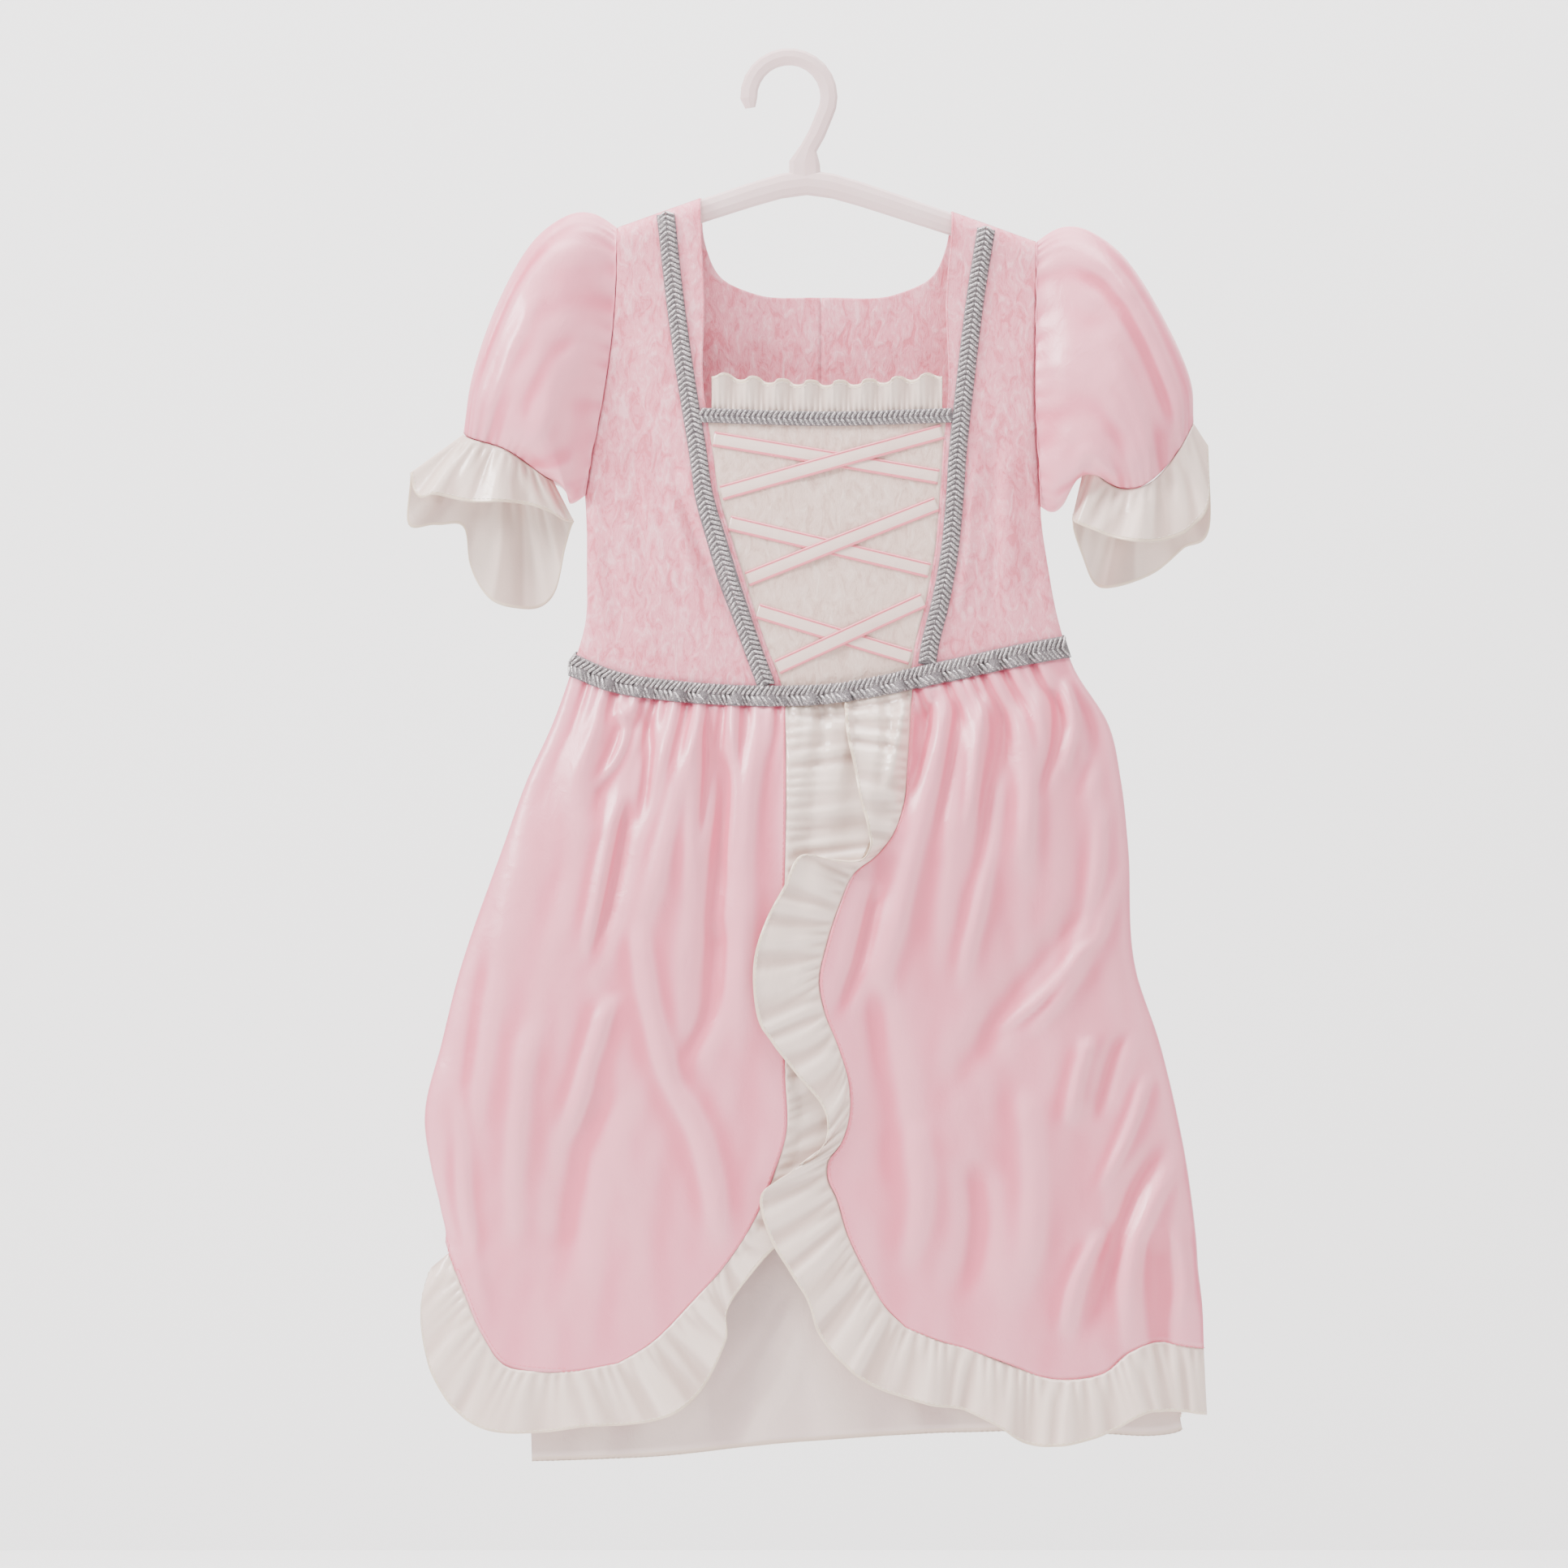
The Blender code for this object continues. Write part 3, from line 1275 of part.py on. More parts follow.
def build_hanger():
    """A plain moulded hanger: two sloping arms and a hook in one piece."""
    stations = []
    for x in np.linspace(HANGER_MIDDLE - HANGER_SPAN / 2, HANGER_MIDDLE + HANGER_SPAN / 2, 21):
        reach = abs(x - HANGER_MIDDLE) / (HANGER_SPAN / 2)
        tip = 1 - 0.5 * float(ease((reach - 0.92) / 0.08))
        tall = BAR_TALL * (1 - 0.3 * reach**2) * tip
        top = float(bar_top_drop(x))
        stations.append([(x, b, a - top - tall / 2) for a, b in ellipse(tall, BAR_THICK * tip, 10)])
    bar = sweep("hanger", stations, "hanger_plastic")

    radius = HOOK_INNER_RADIUS + HOOK_WIDTH / 2
    turns = np.radians(np.linspace(196, -28, 17))
    middle_line = [(radius * math.cos(t), -HOOK_INNER_RADIUS + radius * math.sin(t)) for t in turns]
    middle_line += [(15.5, -38.0), (11.0, -46.0), (8.7, -54.0), (9.0, -66.0)]
    rings = []
    for i, (x, z) in enumerate(middle_line):
        before, after = middle_line[max(i - 1, 0)], middle_line[min(i + 1, len(middle_line) - 1)]
        tangent = Vector((after[0] - before[0], 0, after[1] - before[1])).normalized()
        across = Vector((-tangent.z, 0, tangent.x))
        size = 0.6 if i == 0 else 1.0
        spread = 1.0 + 0.9 * float(ease((-z - 46.0) / 10.0))
        section = ellipse(HOOK_WIDTH * size * spread, HOOK_THICK * size)
        rings.append([Vector((x, 0, z)) + across * a + Vector((0, b, 0)) for a, b in section])
    hook = sweep("hook_shape", rings, "hanger_plastic")
    joined = bar.modifiers.new("hook", "BOOLEAN")
    joined.operation = "UNION"
    joined.object = hook
    shape = bpy.data.meshes.new_from_object(bar.evaluated_get(bpy.context.evaluated_depsgraph_get()))
    bar.modifiers.clear()
    bar.data = shape
    bpy.data.objects.remove(hook)


def main():
    for obj in list(bpy.data.objects):
        bpy.data.objects.remove(obj)
    build_hanger()
    build_bodice_sides()
    build_bodice_centre()
    build_bodice_back()
    build_lacing()
    build_neck_ruffle()
    build_sleeves()
    build_underskirt()
    build_overskirt()
    build_ruffles()
    build_braids()


main()
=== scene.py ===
"""The look of a child's costume dress on its hanger: cloth, trimmings, stitches and finishes over the solids.

+X is the viewer's right, +Z is up, and the front faces -Y. The tables are in millimetres, and a drop is a
distance below the origin. They are the part's own, with finer creases added and the left ruffle wider in the
opening. Each cloth is a thin shell on its solid's form.
"""

import math
from typing import NamedTuple

import bmesh
import bpy
import numpy as np
from mathutils import Matrix, Vector, noise
from mathutils.bvhtree import BVHTree


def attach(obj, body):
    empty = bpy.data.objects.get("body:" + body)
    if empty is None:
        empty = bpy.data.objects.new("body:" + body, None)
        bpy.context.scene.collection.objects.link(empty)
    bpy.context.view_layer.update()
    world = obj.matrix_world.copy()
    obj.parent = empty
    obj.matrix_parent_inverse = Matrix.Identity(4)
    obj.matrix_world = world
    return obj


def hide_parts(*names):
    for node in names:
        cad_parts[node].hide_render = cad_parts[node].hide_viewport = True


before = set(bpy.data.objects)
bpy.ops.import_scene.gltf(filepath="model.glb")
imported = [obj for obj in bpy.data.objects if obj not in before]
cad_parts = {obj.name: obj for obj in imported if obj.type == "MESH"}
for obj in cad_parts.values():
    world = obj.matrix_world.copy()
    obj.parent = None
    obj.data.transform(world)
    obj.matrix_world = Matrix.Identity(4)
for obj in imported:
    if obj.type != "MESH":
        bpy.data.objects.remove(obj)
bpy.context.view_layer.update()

MM = 0.001
CLOTH = 0.6
BRAID_THICK = 0.9
RIBBON_THICK = 0.5
SEAM_HALF = 0.03
LAID_ON = 0.15
FAR_OUT = 60.0
SIDE_GAP = 0.002
ARMHOLE_SHARE = 0.58
TINY = 1e-4

LACE_WIDTH = 8.5
NECK_BRAID_WIDTH = 8.0
BRAID_WIDTH = 10.0
WAIST_BRAID_WIDTH = 12.0
SIDE_LEFT = -118.0
SIDE_RIGHT = 153.0
BACK_MIDDLE = 18.0
VELVET_PAST_BRAID = 8.2
RUFFLE_WIDTH = 38.0
RUFFLE_GAP = 0.1
ARMHOLE_GAP = 0.5
LEAVING_CLEAR = 4.0

HANGER_MIDDLE = 10.0
HANGER_APEX_DROP = 58.0
HANGER_SLOPE = 0.36
HANGER_ROUNDING = 15.0
SHOULDER_ROUND = 10.0
SHOULDER_GAP = 0.8
NECKLINE_DROP = 195.0
NECK_RUFFLE_TALL = 23.0
BACK_NECK_DROP = 128.0
BODICE_TALL = 245
WAIST_REST = 336.0

FRONT_OUT = (0.0, -1.0, 0.0)
BACK_OUT = (0.0, 1.0, 0.0)
VELVET_SIDES = ("velvet_front_left", "velvet_front_right")

# How far in from a free edge each row of stitches runs, and half the step that gives a row its direction.
SKIRT_SEAM = 1.4
RUFFLE_HEM = 1.8
UNDERSKIRT_HEM_WIDE = 2.6
HALF_STEP = 0.5

# Grid cells to each side that a fold's height is measured against, and over which a braid lies stiff.
FOLD_REACH = 7
BRAID_STIFF = 3
BRAID_MIDDLE = 4
BRAID_LINK_STEP = 2.9

# The camera, in metres, at the photograph's level view from the front.
CAMERA_AWAY = 3.0
FRAME_WIDTH = 0.8694
FRAME_MIDDLE_X = -0.0027
FRAME_MIDDLE_Z = -0.3985
ROOM_LIGHT = 0.26


class Silhouette(NamedTuple):
    drop: float
    left: float
    right: float


class Depth(NamedTuple):
    below_waist: float
    front: float
    back: float


class Fold(NamedTuple):
    """A soft ridge, or a trough where its height is negative, that runs down through three points."""

    top_x: float
    top_drop: float
    mid_x: float
    mid_drop: float
    low_x: float
    low_drop: float
    width: float
    height: float


class Lace(NamedTuple):
    left_drop: float
    right_drop: float
    over: bool


class Flute(NamedTuple):
    """Where a ruffle's free edge lies for one place on its seam."""

    seam: float
    hem_x: float
    hem_drop: float
    lift: float
    bow: float


class SleeveRing(NamedTuple):
    """Steps from the shoulder point and from the armpit, away from the body and down, and half the depth."""

    along: float
    top_out: float
    top_down: float
    under_out: float
    under_down: float
    depth: float
    front_sag: float
    back_sag: float


class CuffHem(NamedTuple):
    """The cuff's free edge, from the armpit outwards; -1 is next to the body and 1 outside."""

    across: float
    front_out: float
    front_drop: float
    back_out: float
    back_drop: float
    depth: float


BODY = (
    Silhouette(70, -135, 165),
    Silhouette(150, -126, 155),
    Silhouette(215, -116, 142),
    Silhouette(240, -113, 139.5),
    Silhouette(280, -112, 144),
    Silhouette(310, -113, 150),
    Silhouette(334, -120, 158),
    Silhouette(365, -131, 177),
    Silhouette(396, -145, 184),
    Silhouette(432, -158, 188),
    Silhouette(504, -183, 193),
    Silhouette(540, -192, 205),
    Silhouette(585, -202, 216),
    Silhouette(612, -198, 221),
    Silhouette(634, -193, 224),
    Silhouette(652, -190.5, 226),
    Silhouette(668, -199, 227),
    Silhouette(686, -204, 229),
    Silhouette(710, -204, 230),
    Silhouette(790, -203, 234),
)
BODY_DEPTH = (
    Depth(-290, 11, 11),
    Depth(-200, 12, 11),
    Depth(-110, 15, 13),
    Depth(-50, 14, 12),
    Depth(-10, 11.5, 10.5),
    Depth(0, 11, 10),
    Depth(10, 15, 13),
    Depth(25, 19, 16),
    Depth(80, 25, 20),
    Depth(200, 27, 22),
    Depth(460, 27, 22),
)
UNDERSKIRT = (
    Silhouette(315, -107, 145),
    Silhouette(334, -112, 150),
    Silhouette(365, -122, 166),
    Silhouette(432, -138, 176),
    Silhouette(540, -146, 184),
    Silhouette(650, -146, 200),
    Silhouette(790, -142, 224),
)
UNDERSKIRT_DEPTH = (
    Depth(0, 7.0, 6.5),
    Depth(10, 7.4, 7.0),
    Depth(60, 11, 10),
    Depth(200, 15, 13),
    Depth(460, 16, 14),
)
WAIST = (
    (-124, 331.5),
    (-95, 342),
    (-64, 347),
    (-32, 349.5),
    (-3, 350),
    (26, 348.5),
    (49, 344.5),
    (76, 338.5),
    (103, 333),
    (130, 327.5),
    (162, 322),
)

# Folds of the dress's front, from the bodice down to the hem.
FRONT_FOLDS = (
    Fold(-74, 205, -52, 262, -26, 318, 5, -3.0),
    Fold(-62, 215, -40, 265, -14, 322, 6, 1.6),
    Fold(-100, 262, -95, 300, -88, 328, 6, -1.6),
    Fold(112, 205, 110, 235, 104, 268, 5, -2.0),
    Fold(122, 205, 121, 240, 124, 300, 7, 1.8),
    Fold(-86, 355, -98, 385, -107, 425, 6.5, -4.5),
    Fold(-101, 355, -112, 385, -122, 450, 7, 3.0),
    Fold(-38, 356, -38, 430, -48, 545, 6.5, -5.0),
    Fold(-66, 356, -70, 430, -92, 500, 11, 3.5),
    Fold(-89, 400, -97, 455, -114, 510, 6, -3.5),
    Fold(-22, 356, -24, 440, -28, 560, 7, 2.4),
    Fold(-140, 400, -160, 480, -178, 620, 9, 2.5),
    Fold(78, 346, 68, 385, 60, 425, 5.5, -4.5),
    Fold(86, 346, 70, 430, 46, 530, 7.5, 4.5),
    Fold(50, 450, 39, 495, 26, 532, 5, -3.5),
    Fold(122, 342, 113, 400, 104, 470, 7, -4.5),
    Fold(139, 340, 135, 395, 124, 460, 8, 3.8),
    Fold(104, 348, 92, 430, 84, 520, 8, 2.4),
    Fold(172, 455, 120, 520, 86, 580, 10, -3.0),
    Fold(208, 590, 186, 638, 163, 712, 7.5, -5.0),
    Fold(216, 600, 192, 650, 187, 715, 7, 4.5),
    Fold(204, 640, 205, 680, 206, 735, 9, -6.0),
)
BACK_FOLDS = (
    Fold(-96, 345, -112, 430, -140, 640, 9, -4.5),
    Fold(-64, 345, -74, 430, -96, 660, 11, 4.0),
    Fold(-30, 345, -36, 430, -48, 650, 8, -4.5),
    Fold(4, 345, 2, 430, -6, 650, 11, 4.0),
    Fold(38, 345, 40, 430, 46, 650, 9, -4.5),
    Fold(72, 345, 80, 430, 96, 650, 11, 4.0),
    Fold(106, 345, 122, 430, 148, 640, 9, -4.5),
    Fold(134, 345, 152, 430, 182, 640, 9, 3.5),
)
UNDER_FRONT_FOLDS = (
    Fold(-16, 600, -50, 690, -84, 800, 16, 3.0),
    Fold(-4, 560, -20, 650, -38, 800, 10, -2.5),
    Fold(40, 600, 30, 700, 20, 800, 18, 2.5),
    Fold(120, 560, 130, 690, 136, 800, 18, -2.0),
)
UNDER_BACK_FOLDS = (
    Fold(-60, 400, -74, 600, -86, 800, 18, -2.0),
    Fold(10, 400, 8, 600, 4, 800, 22, 2.0),
    Fold(90, 400, 104, 600, 120, 800, 18, -2.0),
)

# Centre lines of the two braids up the bodice, as (x, drop).
LEFT_BRAID = (
    (-13, 342.4),
    (-21.3, 320),
    (-29.7, 295),
    (-38.9, 266),
    (-46.8, 239),
    (-50.6, 213),
    (-56, 180),
    (-63, 130),
    (-68, 84),
)
RIGHT_BRAID = (
    (75.8, 336),
    (77.9, 321.8),
    (83, 301),
    (88.2, 274),
    (91.4, 243),
    (93.4, 213),
    (97, 180),
    (103, 130),
    (109, 92),
)
LEFT_ARMHOLE = ((-113, 239), (-109, 218), (-103, 188), (-98, 155), (-95.5, 125), (-95, 96))
RIGHT_ARMHOLE = ((139.5, 245), (138, 222), (136, 190), (136, 155), (136.5, 125), (137, 105))

LACING = (
    Lace(208, 229, False),
    Lace(238, 204, True),
    Lace(254.5, 280.6, False),
    Lace(285.5, 244, True),
    Lace(303, 328.5, False),
    Lace(334, 297, True),
)

# The overskirt's opening edges and hems, as (x, drop).
BACK_HEM = (
    (-190.5, 652),
    (-178, 694),
    (-150, 714),
    (-90, 718),
    (0, 716),
    (100, 718),
    (180, 716),
    (230, 711),
)
LEFT_OPENING = (
    (-2, 350),
    (-2, 430),
    (-3, 500),
    (-2, 560),
    (-1.5, 590),
    (-8, 612),
    (-16, 632),
    (-33, 660),
    (-54, 684),
    (-76, 706),
    (-94, 717),
)
LEFT_HEM = (
    (-190.5, 652),
    (-187, 661),
    (-179, 680),
    (-169, 703),
    (-157, 719),
    (-140, 722),
    (-118, 721.5),
    (-94, 717),
)
RIGHT_OPENING = (
    (68.4, 341),
    (67, 368),
    (65.5, 388),
    (63.5, 409),
    (57.5, 426),
    (47.5, 438.5),
    (36.5, 447),
    (28, 465.5),
    (21, 487),
    (17, 508),
    (20, 524),
    (28, 545),
    (33, 563),
    (33.5, 580),
    (29, 596),
    (21.5, 607),
    (21.5, 615),
    (26, 625),
    (32.4, 646),
    (43.5, 669),
    (53, 686),
    (64, 697),
)
RIGHT_HEM = (
    (64, 697),
    (80.5, 703.6),
    (102, 710.5),
    (126, 719.7),
    (139, 725),
    (155, 726.5),
    (173, 723),
    (187, 712),
    (203, 707),
    (217, 709),
    (230, 711),
)
UNDERSKIRT_HEM = (
    (-145, 774),
    (-77, 772),
    (-32, 769),
    (13, 762),
    (80, 756),
    (120, 756),
    (165, 759),
    (224, 756),
)

# The free edge of the ruffle down the right front and round its hem. The seam share runs from waist to side.
RIGHT_RUFFLE = (
    Flute(0.000, 31, 352, 1.5, 0),
    Flute(0.050, 31.5, 368, 5.0, 2),
    Flute(0.090, 35.5, 388, 6.0, 3),
    Flute(0.120, 39, 407, 7.0, 2),
    Flute(0.145, 43, 422, 7.0, 1),
    Flute(0.165, 44, 434, 7.0, 0),
    Flute(0.180, 38, 441, 7.0, 0),
    Flute(0.195, 22, 440, 7.0, 0),
    Flute(0.210, 8, 437, 7.0, 0),
    Flute(0.235, -3, 455, 6.0, 0),
    Flute(0.260, -13, 474, 6.0, 0),
    Flute(0.290, -19.5, 498, 5.0, 0),
    Flute(0.320, -17.5, 526, 5.0, 1),
    Flute(0.350, -9, 541, 5.0, 2),
    Flute(0.380, 5, 559, 5.0, 2),
    Flute(0.405, 18, 575, 5.0, 2),
    Flute(0.430, 21, 589, 5.0, 1),
    Flute(0.450, 17, 600, 5.0, 0),
    Flute(0.468, 8, 606, 5.0, 0),
    Flute(0.485, 0, 612, 6.0, 0),
    Flute(0.505, -15, 623, 6.0, 0),
    Flute(0.530, -12, 644, 6.0, 0),
    Flute(0.560, -1, 664, 6.0, 0),
    Flute(0.590, 10, 682, 7.0, 0),
    Flute(0.620, 17, 702, 4.0, 0),
    Flute(0.650, 32, 719, 7.0, 0),
    Flute(0.685, 50, 731, 3.0, 0),
    Flute(0.715, 76, 739, 7.0, 0),
    Flute(0.755, 97, 743, 2.0, 0),
    Flute(0.785, 116, 752, 8.0, 0),
    Flute(0.815, 130, 761, 4.0, 0),
    Flute(0.850, 152, 762, 8.0, 0),
    Flute(0.885, 176, 756, 3.0, 0),
    Flute(0.915, 195, 746, 6.0, 0),
    Flute(0.950, 211, 745, 1.0, 0),
    Flute(1.000, 232, 748, 1.0, 0),
)
LEFT_RUFFLE = (
    Flute(0.000, 36, 354, 0.0, 0),
    Flute(0.040, 41, 368, 1.5, 0),
    Flute(0.075, 45, 386, -1.0, 0),
    Flute(0.105, 46, 404, 2.0, 0),
    Flute(0.140, 48, 422, -1.0, 0),
    Flute(0.180, 40, 442, 1.5, 0),
    Flute(0.230, 18, 464, -1.0, 0),
    Flute(0.290, 11, 496, 1.5, 0),
    Flute(0.350, 13, 528, -1.0, 0),
    Flute(0.410, 22, 558, 1.5, 0),
    Flute(0.460, 27, 588, -1.0, 0),
    Flute(0.500, 21, 614, 1.0, 0),
    Flute(0.535, 8, 638, -1.0, 0),
    Flute(0.570, -14, 660, 2.0, 0),
    Flute(0.600, -31, 682, 0.0, 0),
    Flute(0.655, -35, 706, 3.0, 0),
    Flute(0.697, -49, 733, 0.0, 0),
    Flute(0.733, -66, 746, 4.0, 0),
    Flute(0.764, -88, 751, 0.0, 0),
    Flute(0.795, -112, 752, 4.0, 0),
    Flute(0.825, -138, 756, 0.0, 0),
    Flute(0.856, -165, 755, 4.0, 0),
    Flute(0.888, -184, 745, 0.0, 0),
    Flute(0.920, -197, 726, 3.0, 0),
    Flute(0.950, -203, 706, 0.0, 0),
    Flute(0.980, -204, 686, 2.0, 0),
    Flute(1.000, -202.5, 670, 0.0, 0),
)

LEFT_SLEEVE = (
    SleeveRing(0.00, 0, 0, 0, 0, 7, 0, 0),
    SleeveRing(0.15, 15, -9, 4, 3, 17, 1, 1),
    SleeveRing(0.38, 43, 4, 8, 4, 25, 2, 4),
    SleeveRing(0.62, 66, 42, 9, 0, 26, 2, 9),
    SleeveRing(0.82, 80, 82, 12, -5, 21, 0, 14),
    SleeveRing(1.00, 85, 114, 17, -9, 11, -3, 18),
)
RIGHT_SLEEVE = (
    SleeveRing(0.00, 0, 0, 0, 0, 7, 0, 0),
    SleeveRing(0.15, 15, -9, 5, 3, 17, 1, 1),
    SleeveRing(0.38, 44, 4, 12, -1, 25, 4, 4),
    SleeveRing(0.62, 69, 40, 17, -12, 26, 11, 11),
    SleeveRing(0.82, 85, 76, 20, -19, 21, 19, 19),
    SleeveRing(1.00, 87, 100, 24, -25, 11, 25, 25),
)
LEFT_CUFF = (
    CuffHem(-1.00, 6, 253, 6, 253, 0),
    CuffHem(-0.85, 13, 249, 10, 268, 7),
    CuffHem(-0.50, 26, 245, 18, 294, 14),
    CuffHem(-0.10, 44, 243, 36, 301, 16),
    CuffHem(0.20, 58, 243, 55, 294, 16),
    CuffHem(0.42, 67, 242, 65, 276, 14),
    CuffHem(0.58, 75, 240, 68, 256, 12),
    CuffHem(0.76, 84, 237, 84, 256, 10),
    CuffHem(0.90, 91, 235, 101, 256, 7),
    CuffHem(1.00, 97, 226, 97, 226, 0),
)
RIGHT_CUFF = (
    CuffHem(-1.00, 17.5, 251, 17.5, 251, 0),
    CuffHem(-0.85, 19, 253, 18.5, 259, 7),
    CuffHem(-0.60, 27, 257, 24, 273, 13),
    CuffHem(-0.30, 38, 262, 31, 287, 17),
    CuffHem(0.00, 52, 265, 42, 289, 18),
    CuffHem(0.30, 68, 264, 64, 281, 17),
    CuffHem(0.60, 84, 256, 80, 268, 14),
    CuffHem(0.85, 93, 238, 95, 254, 8),
    CuffHem(1.00, 93, 211, 93, 211, 0),
)


# Finer creases, only in the cloth's look. Heights below zero are troughs.
FINE_FRONT = (
    Fold(-105, 215, -108, 265, -101, 320, 4, 0.9),
    Fold(-88, 208, -84, 250, -74, 300, 5, -0.8),
    Fold(-70, 208, -64, 240, -48, 300, 3.5, 0.9),
    Fold(104, 210, 101, 250, 92, 318, 3.5, 0.9),
    Fold(128, 225, 133, 265, 140, 312, 5, -1.0),
    Fold(116, 210, 114, 255, 112, 318, 4, -0.7),
    Fold(-92, 352, -91, 372, -107, 404, 3.2, 1.6),
    Fold(-79, 354, -77, 385, -84, 430, 4, -1.8),
    Fold(-52, 356, -52, 400, -56, 470, 6, 1.6),
    Fold(-45, 356, -46, 395, -50, 440, 2.8, -1.4),
    Fold(-31, 356, -30, 398, -34, 455, 3, 1.3),
    Fold(-91, 398, -101, 440, -113, 505, 4.5, 2.0),
    Fold(-84, 470, -78, 510, -58, 590, 7, 1.8),
    Fold(-96, 510, -108, 545, -122, 600, 6, 1.8),
    Fold(-100, 560, -116, 610, -128, 690, 9, -1.6),
    Fold(-60, 560, -44, 610, -36, 660, 8, 1.4),
    Fold(-140, 520, -150, 590, -150, 690, 8, 1.6),
    Fold(-166, 480, -178, 560, -186, 640, 6, -1.4),
    Fold(-182, 560, -180, 620, -166, 700, 5, 1.8),
    Fold(-36, 470, -42, 520, -60, 560, 6, -1.4),
    Fold(64, 350, 58, 380, 52, 410, 3.5, 2.2),
    Fold(80, 348, 76, 372, 68, 404, 2.6, -1.8),
    Fold(95, 347, 88, 390, 80, 440, 4, -1.6),
    Fold(108, 346, 104, 380, 98, 430, 4, 1.5),
    Fold(118, 380, 110, 440, 92, 520, 5, 1.6),
    Fold(147, 338, 148, 365, 138, 410, 4, -1.8),
    Fold(153, 336, 157, 360, 152, 398, 4, 1.8),
    Fold(165, 345, 168, 372, 160, 410, 5, -1.4),
    Fold(176, 400, 170, 450, 150, 520, 6, 1.4),
    Fold(186, 440, 168, 490, 128, 545, 6, 1.6),
    Fold(170, 480, 140, 515, 110, 540, 5, 1.6),
    Fold(167, 535, 160, 560, 154, 590, 5, 1.8),
    Fold(186, 532, 176, 560, 168, 590, 5, -1.6),
    Fold(200, 556, 188, 590, 170, 626, 4, 1.7),
    Fold(130, 560, 136, 620, 128, 690, 10, 1.6),
    Fold(100, 600, 104, 640, 96, 690, 8, -1.4),
    Fold(70, 580, 74, 620, 66, 670, 8, 1.2),
    Fold(44, 500, 52, 560, 58, 640, 10, -1.4),
    Fold(176, 640, 160, 670, 152, 706, 5, 1.8),
    Fold(214, 640, 219, 670, 216, 700, 4.5, 2.0),
)
FINE_UNDER = (
    Fold(14, 690, 0, 725, -28, 770, 4, 1.5),
    Fold(2, 676, -14, 705, -44, 745, 3.5, -1.4),
    Fold(-96, 700, -104, 740, -112, 790, 8, 1.4),
    Fold(60, 690, 74, 725, 84, 770, 7, -1.4),
    Fold(100, 700, 104, 735, 100, 770, 7, 1.4),
    Fold(178, 700, 176, 730, 172, 770, 7, 1.5),
)


class SleeveFold(NamedTuple):
    """A crease down a sleeve, from one place round it to another, in turns from the middle of its front."""

    top_turn: float
    top: float
    low_turn: float
    low: float
    width: float
    height: float


LEFT_SLEEVE_FOLDS = (
    SleeveFold(0.80, 0.12, 0.84, 0.95, 0.018, 1.6),
    SleeveFold(0.88, 0.15, 0.90, 1.00, 0.016, -1.5),
    SleeveFold(0.96, 0.30, 0.95, 1.05, 0.020, 1.5),
    SleeveFold(0.02, 0.10, 0.00, 0.80, 0.018, -1.3),
    SleeveFold(0.10, 0.35, 0.08, 1.05, 0.020, 1.6),
    SleeveFold(0.17, 0.15, 0.16, 0.90, 0.016, -1.4),
    SleeveFold(0.35, 0.15, 0.38, 1.00, 0.020, 1.5),
    SleeveFold(0.50, 0.10, 0.48, 0.90, 0.022, -1.5),
    SleeveFold(0.63, 0.20, 0.64, 1.00, 0.020, 1.5),
)
RIGHT_SLEEVE_FOLDS = (
    SleeveFold(0.12, 0.10, 0.10, 0.90, 0.016, -1.7),
    SleeveFold(0.16, 0.18, 0.13, 1.00, 0.020, 1.8),
    SleeveFold(0.05, 0.30, 0.03, 1.05, 0.016, 1.3),
    SleeveFold(0.97, 0.15, 0.98, 0.85, 0.020, -1.3),
    SleeveFold(0.90, 0.30, 0.93, 1.05, 0.018, 1.6),
    SleeveFold(0.83, 0.10, 0.86, 0.90, 0.016, -1.4),
    SleeveFold(0.38, 0.12, 0.36, 0.95, 0.020, 1.5),
    SleeveFold(0.50, 0.25, 0.52, 1.00, 0.018, -1.5),
    SleeveFold(0.64, 0.15, 0.62, 0.95, 0.020, 1.5),
)


FRONT = 1.0
BACK = -1.0


def column(rows, name):
    return np.array([getattr(row, name) for row in rows], float)


def smooth(knots, values, at):
    """A cubic curve through the values, with each slope taken from its neighbours."""
    knots, values, at = np.asarray(knots, float), np.asarray(values, float), np.asarray(at, float)
    slopes = np.gradient(values, knots)
    left = np.clip(np.searchsorted(knots, at) - 1, 0, len(knots) - 2)
    step = knots[left + 1] - knots[left]
    t = np.clip((at - knots[left]) / step, -0.2, 1.2)
    rise = values[left] * (2 * t**3 - 3 * t**2 + 1) + values[left + 1] * (3 * t**2 - 2 * t**3)
    return rise + step * (slopes[left] * (t**3 - 2 * t**2 + t) + slopes[left + 1] * (t**3 - t**2))


def ease(t):
    t = np.clip(t, 0.0, 1.0)
    return t * t * (3 - 2 * t)


def waist_drop(x, side=FRONT):
    """The waist seam, which dips in the middle of the front and runs straight across the back."""
    rows = np.array(WAIST, float)
    dipped = smooth(rows[:, 0], rows[:, 1], np.clip(x, rows[0, 0], rows[-1, 0]))
    straight = np.interp(x, rows[[0, -1], 0], rows[[0, -1], 1])
    return np.where(np.asarray(side) > 0, dipped, straight)


def bar_top_drop(x):
    """The hanger's upper edge, two sloping arms with a rounded apex."""
    from_middle = np.sqrt((np.asarray(x) - HANGER_MIDDLE) ** 2 + HANGER_ROUNDING**2) - HANGER_ROUNDING
    return HANGER_APEX_DROP + HANGER_SLOPE * from_middle


def shoulder_drop(x):
    """The highest line of the cloth, which lies over the hanger's arms."""
    lean = math.hypot(1.0, HANGER_SLOPE)
    return bar_top_drop(x) - (CLOTH + LAID_ON) * lean


